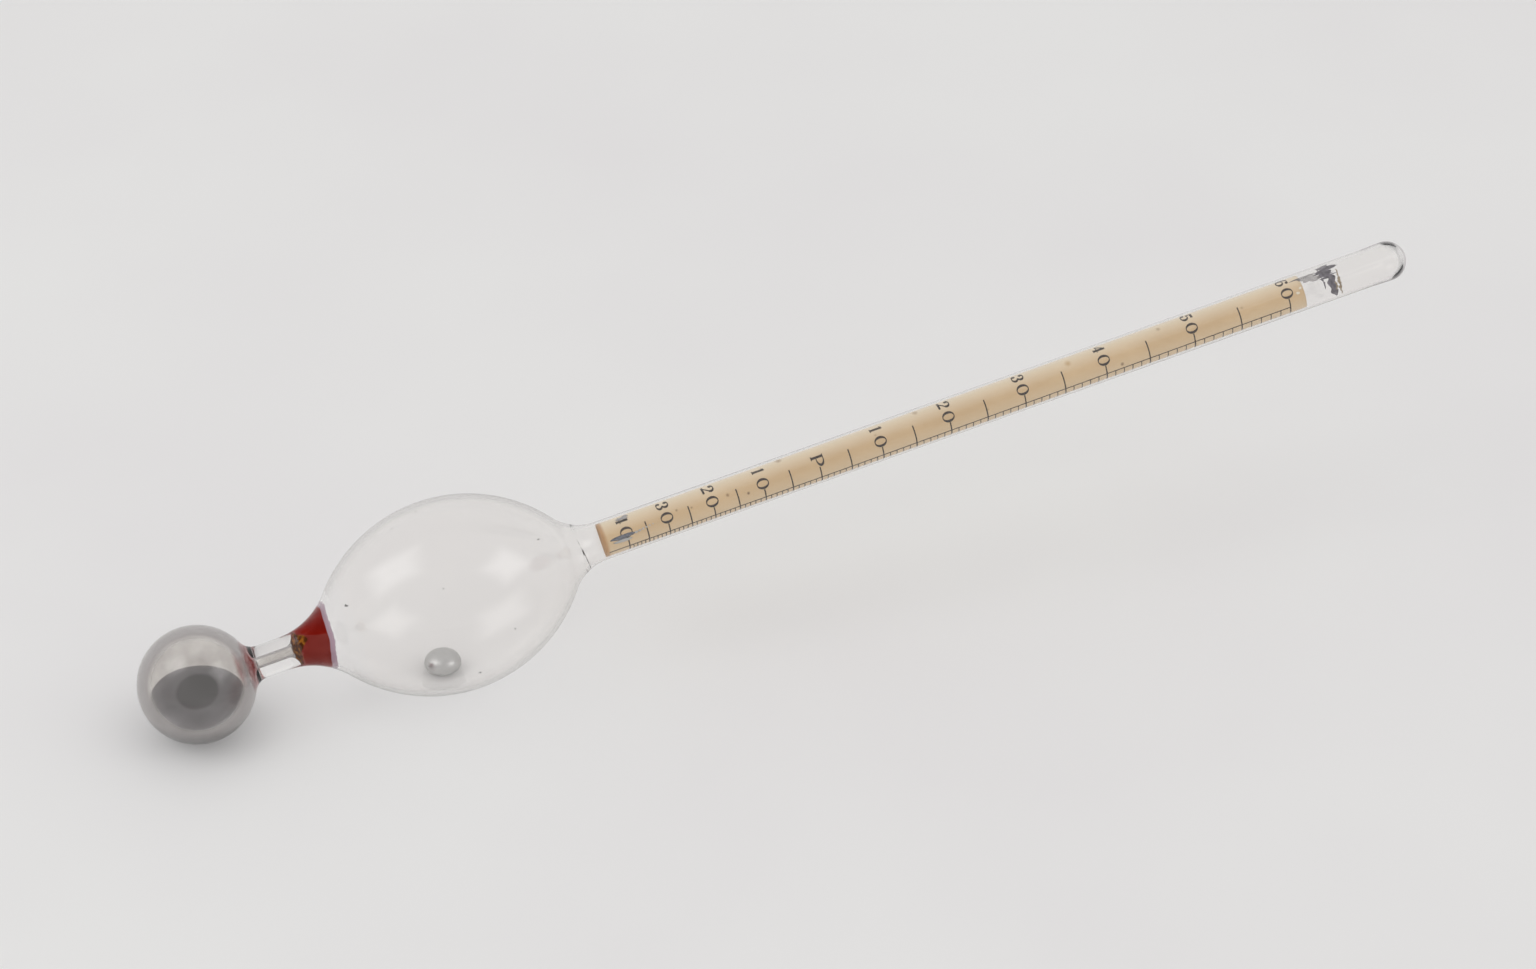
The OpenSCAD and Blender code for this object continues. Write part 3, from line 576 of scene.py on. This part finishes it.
def handSwell(t, turn):  # the ovality of blown bulbs, and the ring of the weld, which wanders a little
    marks = handMarks
    inBulb = bump(t, glassForm["floatT"], marks["bulbHalf"])
    most = marks["stemOval"] + marks["oval"] * inBulb
    oval = most * np.cos(np.radians(2 * turn + t * marks["ovalTwist"]))
    ringT = marks["weldT"] + marks["weldWave"] * np.sin(np.radians(turn + marks["weldTurn"]))
    return oval + bump(t, ringT, marks["weldWidth"]) * marks["weldRise"]


# Between these places the hollow has one radius at each t
hollowSpan = (12, 255)


def innerRadius(t):  # radius of the hollow at a place t between the neck and the tip
    part = innerGlass[(innerGlass[:, 1] > hollowSpan[0]) & (innerGlass[:, 1] < hollowSpan[1])]
    return np.interp(t, part[:, 1], part[:, 0])


def waxRim(f, turn):  # the place t of the slanted, slightly ruffled rim at each turn
    slope = math.tan(math.radians(f["slant"]))
    slow, fast = f["ruffleWaves"]
    ruffle = f["ruffle"] * (np.sin(np.radians(slow * turn))
                            + np.sin(np.radians(fast * turn + f["ruffleShift"])) * f["ruffleShare"])
    lean = np.cos(np.radians(turn - f["slantTurn"]))
    return f["faceT"] - slope * innerRadius(f["faceT"]) * lean + ruffle, ruffle


def waxPlace(points, f):
    # for each point: how far past the wax rim it lies, how far past the resin's edge, and whether it is
    # below the line where the wax turns dull (a sine of the turn, over 0 when below)
    t, turn = points[:, 2], np.degrees(np.arctan2(points[:, 1], points[:, 0])) % 360
    resin = f["resinRise"] * bump(turn, f["resinTurn"], f["resinHalf"])
    dull = f["dullTurn"] - f["dullSweep"] * np.exp(-np.clip(t - f["dullT"], 0, None) / f["dullMm"])
    below = np.sin(np.radians(turn - dull))
    return np.stack([t - waxRim(waxForm, turn)[0], t - glassForm["mouthT"] - resin, below], 1)


# The zones of the glass skin, in the order of its materials
zones = dict(clear=0, clouded=1, waxed=2, paintedEdgeFloat=3, overWax=4, paintedEdgeStem=5, paintedEdgeTip=6)


def blowGlass():
    # an outer and an inner skin in one piece, with a zone given to each face by the place t of its middle
    f = filmForm
    outerSkin = facing(spun(outerGlass, swell=handSwell))
    innerSkin = facing(spun(innerGlass), inward=True)
    piece = makePiece(
        "glassEnvelope", [outerSkin, innerSkin], lampBlownGlass(), "glass",
        ("ballast_bulb", "neck_tube", "float_bulb", "stem_tube", "stem_tip"),
    )
    innerT = np.concatenate([innerSkin[0][innerSkin[k]].mean(1)[:, 2] for k in (1, 2)])
    innerZone = np.select([innerT < f["cloudEnd"], innerT < f["waxedEnd"]],
                          [zones["clouded"], zones["waxed"]], zones["clear"])
    outerT = np.concatenate([outerSkin[0][outerSkin[k]].mean(1)[:, 2] for k in (1, 2)])
    overWax = np.abs(outerT - f["waxT"]) < f["waxHalf"]
    outerZone = np.select(
        [outerT > f["tipT"], outerT > f["stemT"], outerT > f["paintedEdgeT"], overWax],
        [zones[key] for key in ("paintedEdgeTip", "paintedEdgeStem", "paintedEdgeFloat", "overWax")], zones["clear"])
    zone = np.concatenate([outerZone, innerZone])
    # three of these finishes paint light on the edges of the float, the stem and the tip
    for material in (cloudedGlass(), waxedGlass(), lampBlownGlass("paintedEdgeGlass", 0.38),
                     lampBlownGlass("waxBackedGlass", glint="74221a"),
                     lampBlownGlass("paintedEdgeStemGlass", 0.6, "dad7d3"),
                     lampBlownGlass("paintedEdgeTipGlass", 0.9, "a39c9e")):
        piece.data.materials.append(material)
    piece.data.polygons.foreach_set("material_index", zone.astype(np.int32))
    attribute = piece.data.attributes.new("waxPlace", "FLOAT_VECTOR", "POINT")
    place = waxPlace(np.concatenate([outerSkin[0], innerSkin[0]]), f)
    attribute.data.foreach_set("vector", place.reshape(-1).astype(np.float32))
    return piece


envelope = blowGlass()
print("glass blown:", len(envelope.data.polygons), "faces")

# The mercury pool: level in the middle, its free rim rounded, its foot on the round glass
poolForm = dict(gap=0.08, level=1.6, rimFall=1.2, rimPower=5)
ballInR = glassForm["ballR"] - glassForm["ballWall"]


def poolOutline(f):
    # height falls from the level top by a high power of the way out, then follows the glass down
    r = ballInR - f["gap"]
    foot = f["level"] + f["rimFall"]
    footA = -math.degrees(math.asin(foot / r))
    way = np.sin(np.linspace(0, math.pi / 2, 25))
    crownR = r * math.cos(math.radians(footA))
    crown = np.stack([crownR * way, -f["level"] - f["rimFall"] * way ** f["rimPower"]], 1)
    return np.concatenate([crown, arc(0, 0, r, footA, -90, 4.0)])


def levelSpin(outline, cols=72):
    # an outline (r, height) turned about the upright through the ballast bulb, in instrument coordinates
    turn = np.radians(np.arange(cols) * 360 / cols)
    r, h = outline[1:-1, :1], outline[1:-1, 1:]
    rings = np.stack([r * np.cos(turn), r * np.sin(turn), h + 0 * turn], -1)
    poles = np.array([[0, 0, outline[0, 1]], [0, 0, outline[-1, 1]]])
    axes = np.stack([downDir, sideDir, alongDir], 1)
    return skinOf(rings @ axes, poles @ axes)


makePiece("mercuryPool", [facing(levelSpin(poolOutline(poolForm)))], skinnedMercury(),
          "pool", ("ballast_mercury",))

# The stray bead: a flattened drop that rests inside the float bulb
beadForm = dict(r=3.8, h=4.1, gap=0.15, turnBack=0.5, domeShare=0.62, fullR=0.85, fullH=0.95)


def beadSkin(f, cols=48):
    # a superellipse in section, upright to the curve of the bulb at the bead's place
    a = np.radians(np.linspace(90, -90, 33))
    dome = f["h"] * f["domeShare"]
    foot = f["h"] - dome
    r = f["r"] * np.abs(np.cos(a)) ** f["fullR"]
    h = foot + np.where(a > 0, dome, -foot) * np.abs(np.sin(a)) ** f["fullH"]
    turn = np.radians(np.arange(cols) * 360 / cols)
    x, y = r[1:-1, None] * np.cos(turn), r[1:-1, None] * np.sin(turn)
    rings = np.stack([-h[1:-1, None] + 0 * turn, y, x], -1)
    poles = np.array([[-h[0], 0, 0], [-h[-1], 0, 0]])
    lean = tilt + math.radians(f["turnBack"])
    floorR = glassForm["bellyArc"] - glassForm["floatWall"] - f["gap"]
    bellyC = glassForm["floatR"] - glassForm["bellyArc"]

    def leant(p):  # lean back by the tilt about the centre of the belly's arc
        down, t = p[..., 0] + floorR, p[..., 2]
        return np.stack([bellyC + down * math.cos(lean) + t * math.sin(lean), p[..., 1],
                         glassForm["floatT"] - down * math.sin(lean) + t * math.cos(lean)], -1)

    return skinOf(leant(rings), leant(poles))


dropMaterial = greyMercury()
makePiece("mercuryBead", [facing(beadSkin(beadForm))], dropMaterial,
          "bead", ("mercury_bead",))
print("mercury poured")

# The wax plug, run into the throat of the float bulb, with a slanted and slightly dished face
def waxSkin(f, cols=96):
    # from the bore the side follows the glass to a slanted rim; the face dishes in towards its middle
    turn = np.arange(cols) * 360 / cols
    side = np.linspace(0, 1, 26)[:, None]
    rimT, ruffle = waxRim(f, turn)
    t = f["startT"] + (rimT - f["startT"]) * side
    sideRings = polar(t, innerRadius(t) - f["gap"], turn[None, :] + 0 * t)
    rimR = innerRadius(rimT) - f["gap"]
    inwards = np.linspace(f["faceFrom"], f["faceTo"], 12)[:, None]
    r = rimR * inwards
    slope = math.tan(math.radians(f["slant"]))
    lean = np.cos(np.radians(turn - f["slantTurn"]))
    faceT = f["faceT"] - slope * r * lean + ruffle * inwards ** 3 - f["dish"] * (1 - inwards ** 2)
    faceRings = polar(faceT, r, turn[None, :] + 0 * r)
    return skinOf(np.concatenate([sideRings, faceRings]),
                  [[0, 0, f["startT"]], [0, 0, f["faceT"] - f["dish"]]])


makePiece("sealingWaxPlug", [facing(waxSkin(waxForm))], redSealingWax(), "glass",
          ("wax_plug",))

stopperForm = dict(t=20.0, length=2.8, r=1.3, gap=0.04, headShare=0.4)


def stopperSkin(f):  # a small plug: thin in the bore, wider and rounded at its head
    t = np.linspace(f["t"], f["t"] + f["length"], 14)
    r = np.minimum(innerRadius(t) - f["gap"], f["r"])
    headLength = f["length"] * f["headShare"]
    headT = f["t"] + f["length"] - headLength
    head = np.sqrt(np.clip(1 - ((t - headT) / headLength) ** 2, 0, 1))
    r = np.where(t > headT, r * head, r)
    outline = np.stack([r, t], 1)
    outline = np.concatenate([[[0, f["t"]]], outline[:-1], [[0, f["t"] + f["length"]]]])
    return spun(outline, 32)


makePiece("brownStopper", [facing(stopperSkin(stopperForm))], brownResin(), "glass",
          ("bore_stopper",))
print("throat sealed")

# The rolled paper
paperForm = dict(outR=3.5, layer=0.12, startT=86.0, endT=242.0, edgeTurn=312.0, twist=16.0, twistT=140.0,
                 twistEndT=238.15, stepTurn=20.0, endSlant=0.2, endTurn=60, endPower=20)


def paperSkin(f, rows=140, cols=120):
    # section: one outer round that steps down by a layer at the lap's free edge, and an inner round two
    # layers in; the edge winds with the twist of the roll
    t = np.linspace(0, 1, rows)[:, None]
    stepCols = 10
    around = np.concatenate([
        np.linspace(0, f["stepTurn"], stepCols), np.linspace(f["stepTurn"], 360, cols - stepCols)[1:]])
    stepR = f["outR"] - f["layer"] * (1 - np.clip(around / f["stepTurn"], 0, 1) ** 2)
    place = f["startT"] + (f["endT"] - f["startT"]) * t
    twisted = np.clip((place - f["twistT"]) / (f["twistEndT"] - f["twistT"]), 0, None)
    edge = f["edgeTurn"] - f["twist"] * twisted
    turn = edge + around
    atEnds = t ** f["endPower"] + (1 - t) ** f["endPower"]
    slant = f["endSlant"] * np.cos(np.radians(turn - f["endTurn"])) * atEnds
    outer = polar(place + slant, stepR + 0 * t, turn)
    inner = polar(place + slant, f["outR"] - 2 * f["layer"] + 0 * turn, turn)
    unrolled = np.stack([place + 0 * turn, np.radians(turn - 360) * f["outR"], 0 * turn], -1)
    # the section runs round outside, then back inside, so that the step is a closed lip
    section = np.concatenate([outer, inner[:, ::-1]], 1)
    flat = np.concatenate([unrolled, unrolled[:, ::-1]], 1)
    return section, flat


def paperPiece(f, spots):
    section, flat = paperSkin(f)
    rows, cols = section.shape[:2]
    points, quads, fans = skinOf(section)
    around = cols // 2
    j = np.arange(around - 1)
    ends = np.concatenate([  # the two ends: cells between the outer and the inner round
        np.stack([r0 + j, r0 + j + 1, r0 + cols - 2 - j, r0 + cols - 1 - j], 1)
        for r0 in (0, (rows - 1) * cols)])
    ends[around - 1:] = ends[around - 1:, ::-1]
    skin = facing((points, np.concatenate([quads, ends[:, ::-1]]), fans))
    piece = makePiece("paperScale", [skin], agedRagPaper(spots), "glass", ("scale_paper",))
    attribute = piece.data.attributes.new("unrolled", "FLOAT_VECTOR", "POINT")
    attribute.data.foreach_set("vector", flat.reshape(-1).astype(np.float32))
    return piece


# Foxing: place, turn, size in mm, strength and tone of each spot
foxing = [
    (125.5, 168, 0.9, 0.6, "8a6a3c"), (113.0, 228, 0.45, 0.7, "7d5a34"), (117.2, 245, 0.4, 0.8, "5d3d22"),
    (155.6, 172, 0.8, 0.55, "9a7a4e"), (189.2, 193, 0.9, 0.5, "b5893e"), (209.8, 185, 0.6, 0.5, "8f6f45"),
    (200.0, 258, 0.5, 0.7, "6d4a2a"), (102.1, 219, 0.35, 0.6, "7d5a34"), (105.2, 227, 0.3, 0.6, "7d5a34"),
    (146.0, 205, 0.35, 0.4, "8f6f45"), (170.0, 250, 0.3, 0.4, "8f6f45"), (228.0, 215, 0.4, 0.4, "8f6f45"),
    (96.0, 100, 0.8, 0.5, "8a6a3c"), (131.0, 60, 1.1, 0.45, "9a7a4e"), (181.0, 20, 0.7, 0.5, "8a6a3c"),
    (216.0, 75, 0.9, 0.4, "9a7a4e"), (160.0, 110, 0.5, 0.6, "6d4a2a"), (233.0, -15, 0.6, 0.5, "8a6a3c"),
]
paperPiece(paperForm, foxing)
inkMaterial = printingInk()
for nodeName in ("scale_ruled_line", "scale_graduations", "scale_figures"):
    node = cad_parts[nodeName]
    node.data.materials.clear()
    node.data.materials.append(inkMaterial)
print("scale rolled")


# Residues and specks: thin pillows bent round the middle line
def pillow(t, turn, halfLen, halfArc, baseR, thick, ragged, seed, lean=0.0, cols=30, rows=6):
    # an oval with a ragged outline, flat on the cylinder at baseR and domed by thick; lean shears it along.
    # core is the size of its smallest ring and lip the height of its rim, as shares of the whole
    core, lip = 0.2, 0.15
    rng = np.random.default_rng(seed)
    a = np.radians(np.arange(cols) * 360 / cols)
    waves, shifts = np.arange(2, 7), rng.uniform(0, 2 * math.pi, 5)
    edge = 1 + ragged * (np.cos(waves[:, None] * a + shifts[:, None]) / np.sqrt(waves - 1)[:, None]).sum(0)
    u = np.concatenate([np.linspace(core, 1, rows), np.linspace(1, core, rows)[1:]])[:, None]
    top = np.arange(2 * rows - 1)[:, None] < rows
    along, across = halfLen * u * edge * np.cos(a), halfArc * u * edge * np.sin(a)
    rise = np.where(top, lip + (1 - lip) * np.sqrt(np.clip(1 - u ** 2, 0, 1)), 0.0) * thick
    rings = polar(t + along + lean * across, baseR + rise, turn + np.degrees(across / abs(baseR)))
    return facing(skinOf(rings, [polar(t, baseR + thick, turn), polar(t, baseR, turn)]))


# How a laid band swells, drifts sideways and thins out towards its ends
bandForm = dict(swell=0.3, swellRate=9, drift=0.25, driftRate=7, least=0.25, most=1.8, taper=0.3)


def raggedBand(t, turn, sweep, width, thick, baseR, seed, rows=70, cols=10, lean=0.0):
    # a bead laid along part of a turn: an oval section that swells and thins at random, pointed at its ends
    rng = np.random.default_rng(seed)
    s = np.linspace(0, 1, rows + 2)[1:-1]
    waves, shifts = np.arange(1, 9), rng.uniform(0, 2 * math.pi, (2, 8))
    f = bandForm
    beat = waves * s[:, None]
    swell = 1 + f["swell"] * (np.cos(beat * f["swellRate"] + shifts[0]) / np.sqrt(waves)).sum(1)
    drift = f["drift"] * width * (np.cos(beat * f["driftRate"] + shifts[1]) / waves).sum(1)
    swell = np.clip(swell, f["least"], f["most"]) * np.sin(math.pi * s) ** f["taper"]
    a = np.radians(np.arange(cols) * 360 / cols)
    along = t + lean * (s[:, None] - 0.5) + drift[:, None] + width / 2 * swell[:, None] * np.cos(a)
    r = baseR - thick * np.clip(swell, 0, 1)[:, None] * (0.5 + 0.5 * np.sin(a))
    rings = polar(along, r, turn + sweep * s[:, None] + 0 * a)
    ends = [polar(t + lean * (k - 0.5) + d, baseR - thick / 2, turn + sweep * k)
            for k, d in ((0.0, drift[0]), (1.0, drift[-1]))]
    return facing(skinOf(rings, ends))


# Specks of the glass, set just inside it: place, turn and size in mm
speckPlaces = [(32.4, 203, 0.34), (72.2, 209, 0.2), (52.8, 289, 0.28), (61.6, 266, 0.16), (50.4, 225, 0.14),
               (51.8, 162, 0.18), (46.0, 168, 0.16)]
clearMm = 0.04  # thin things stand this far off the paper or the glass
stemInR = glassForm["stemR"] - glassForm["stemWall"]
smearForm = dict(baseR=paperForm["outR"] + clearMm, thick=0.04)
makePiece("mercurySmear", [
    pillow(t=90.0, turn=241, halfLen=2.5, halfArc=0.46, ragged=0.07, seed=3, lean=0.4, **smearForm),
], smearedMercury(), "glass", ("stem_mercury_smear",))
makePiece("mercuryHaze", [
    pillow(t=91.0 + 0.5 * k, turn=181 - 5 * k, halfLen=1.2 - 0.3 * k, halfArc=0.3, ragged=0.2, seed=50 + k,
           **smearForm)
    for k in range(3)], mercuryHaze(), "glass")
makePiece("mercuryTail", [
    pillow(t=89.8, turn=253, halfLen=1.9, halfArc=0.32, ragged=0.06, seed=4, lean=0.4, **smearForm)] + [
    pillow(t=92.9 + 0.75 * k, turn=241 - 1.5 * k, halfLen=0.34 - 0.04 * k, halfArc=0.26 - 0.03 * k,
           ragged=0.1, seed=10 + k, **smearForm)
    for k in range(6)], dropMaterial, "glass", ("stem_mercury_beads",))

cementR = stemInR - clearMm
makePiece("cementRing", [
    raggedBand(t=248.3, turn=90, sweep=204, width=1.5, thick=0.22, baseR=cementR, seed=4),
    raggedBand(t=247.6, turn=166, sweep=52, width=3.4, thick=0.25, baseR=cementR, seed=7),
    raggedBand(t=246.4, turn=175, sweep=74, width=0.3, thick=0.15, baseR=cementR, seed=9),
], darkCement(), "glass", ("cement_ring",))
makePiece("cementStain", [
    raggedBand(t=249.8, turn=196, sweep=96, width=0.5, thick=0.08, baseR=cementR, seed=12),
    raggedBand(t=248.9, turn=236, sweep=30, width=0.5, thick=0.26, baseR=cementR, seed=14),
], brownCement(), "glass")
filmThick = 0.05
cementFilm = dict(baseR=cementR - filmThick, thick=filmThick)
makePiece("cementSmear", [
    pillow(t=244.0, turn=197, halfLen=2.0, halfArc=0.9, ragged=0.2, seed=21, **cementFilm),
    pillow(t=242.5, turn=184, halfLen=3.0, halfArc=0.22, ragged=0.15, seed=22, **cementFilm),
], thinCement(), "glass", ("cement_smear",))
makePiece("glueDabs", [
    pillow(t=240.4, turn=231, halfLen=0.38, halfArc=0.3, ragged=0.12, seed=31, **smearForm),
    pillow(t=241.2, turn=218, halfLen=0.3, halfArc=0.25, ragged=0.12, seed=32, **smearForm),
], driedGlue(), "glass", ("glue_dabs",))
speckMaterial = darkSpeck()
speckForm = dict(inset=0.05, thick=0.04, ragged=0.3, acrossShare=0.7)
makePiece("glassSpecks", [
    pillow(t, turn, size, size * speckForm["acrossShare"], innerRadius(t) - speckForm["inset"],
           speckForm["thick"], speckForm["ragged"], 40 + k)
    for k, (t, turn, size) in enumerate(speckPlaces)], speckMaterial, "glass")
weldT = handMarks["weldT"]
weldLineForm = dict(turn=208, sweep=112, width=0.15, thick=0.03, seed=61, lean=1.5)
intoWall = 0.15  # how deep in the glass the weld's line lies, in mm
makePiece("weldLine", [
    raggedBand(weldT, baseR=innerRadius(weldT) + intoWall, **weldLineForm),
], speckMaterial, "glass")
print("residues laid")

# Floor, light and camera
floorForm = dict(size=30.0, colours=("efefee", "ecebeb"), patchMm=120.0, roughness=0.9)
floorMesh = bpy.data.meshes.new("paleTable")
reach = floorForm["size"] / 2
floorMesh.from_pydata([(-reach, -reach, 0), (reach, -reach, 0), (reach, reach, 0), (-reach, reach, 0)], [],
                      [(0, 1, 2, 3)])
floorMesh.materials.append(plainFinish(
    "paleTablePaper", floorForm["colours"], floorForm["patchMm"], floorForm["roughness"]))
floor = bpy.data.objects.new("paleTable", floorMesh)
bpy.context.scene.collection.objects.link(floor)

az, el = math.radians(viewForm["azimuth"]), math.radians(viewForm["elevation"])
rightDir = np.array([math.cos(az), -math.sin(az), 0.0])
nearDir = np.array([-math.sin(az), -math.cos(az), 0.0])  # level, from the object towards the camera
backDir = nearDir * math.cos(el) + np.array([0, 0, math.sin(el)])

cameraData = bpy.data.cameras.new("camera")
cameraData.lens, cameraData.sensor_width = viewForm["lens"], viewForm["sensor"]
cameraData.clip_start, cameraData.clip_end = viewForm["clip"]
camera = bpy.data.objects.new("camera", cameraData)
bpy.context.scene.collection.objects.link(camera)
upDir = np.cross(backDir, rightDir)
spot = np.array(viewForm["target"]) + backDir * viewForm["distance"]
camera.matrix_world = Matrix([
    [rightDir[k], upDir[k], backDir[k], spot[k]] for k in range(3)] + [[0, 0, 0, 1]])
bpy.context.scene.camera = camera


def softbox(name, towardsCamera, elevation, distance, width, height, watts, side):
    # a soft lamp to one side, brightest in its middle and faded to its edges; towardsCamera is its turn
    # from square-on, in degrees
    fadeFrom, fadeTo = 0.5, 0.1
    turn, rise = math.radians(towardsCamera), math.radians(elevation)
    level = rightDir * side * math.cos(turn) + nearDir * math.sin(turn)
    place = Vector(level * math.cos(rise) * distance + np.array([0, 0, math.sin(rise) * distance]))
    lamp = bpy.data.lights.new(name, "AREA")
    lamp.shape, lamp.size, lamp.size_y, lamp.energy = "RECTANGLE", width, height, watts
    lamp.use_nodes = True
    lampTree = lamp.node_tree
    lampTree.nodes.clear()
    across = addNode(lampTree, "ShaderNodeNewGeometry").outputs["Parametric"]
    off = addNode(lampTree, "ShaderNodeVectorMath", {
        0: across, 1: (0.5, 0.5, 0)}, operation="SUBTRACT").outputs[0]
    off = addNode(lampTree, "ShaderNodeVectorMath", {0: off}, operation="ABSOLUTE").outputs[0]
    sides = addNode(lampTree, "ShaderNodeSeparateXYZ", {0: off})
    out = addNode(lampTree, "ShaderNodeMath", {
        0: sides.outputs[0], 1: sides.outputs[1]}, operation="MAXIMUM").outputs[0]
    fade = addNode(lampTree, "ShaderNodeMapRange", {
        "Value": out, "From Min": fadeFrom, "From Max": fadeTo}, interpolation_type="SMOOTHSTEP").outputs[0]
    glow = addNode(lampTree, "ShaderNodeEmission", {"Strength": fade}).outputs[0]
    addNode(lampTree, "ShaderNodeOutputLight", {"Surface": glow})
    holder = bpy.data.objects.new(name, lamp)
    bpy.context.scene.collection.objects.link(holder)
    holder.rotation_euler = place.to_track_quat("Z", "Y").to_euler()
    holder.location = place
    holder.visible_camera = False


softbox("leftSoftbox", towardsCamera=8.6, elevation=50, distance=1.3, width=1.2, height=1.2, watts=5.0,
        side=-1)
softbox("rightSoftbox", towardsCamera=14, elevation=43, distance=1.3, width=1.05, height=1.05, watts=4.0,
        side=1)

# The room: pale walls round the table, a little greyer overhead
roomForm = dict(low="e6e5e4", high="dedddd", lowAt=0.15, highAt=0.5)
world = bpy.data.worlds.new("room")
bpy.context.scene.world = world
world.use_nodes = True
tree = world.node_tree
tree.nodes.clear()
direction = addNode(tree, "ShaderNodeTexCoord").outputs["Generated"]
height = addNode(tree, "ShaderNodeSeparateXYZ", {0: direction}).outputs["Z"]
share = addNode(tree, "ShaderNodeMapRange", {
    "Value": height, "From Min": roomForm["lowAt"], "From Max": roomForm["highAt"]}).outputs[0]
tone = addNode(tree, "ShaderNodeMix", {
    0: share, 6: linearOf(roomForm["low"]), 7: linearOf(roomForm["high"])}, data_type="RGBA").outputs[2]
walls = addNode(tree, "ShaderNodeBackground", {"Color": tone, "Strength": 1.0}).outputs[0]
addNode(tree, "ShaderNodeOutputWorld", {"Surface": walls})

scene = bpy.context.scene
scene.view_settings.view_transform = "Standard"
print("stage set")
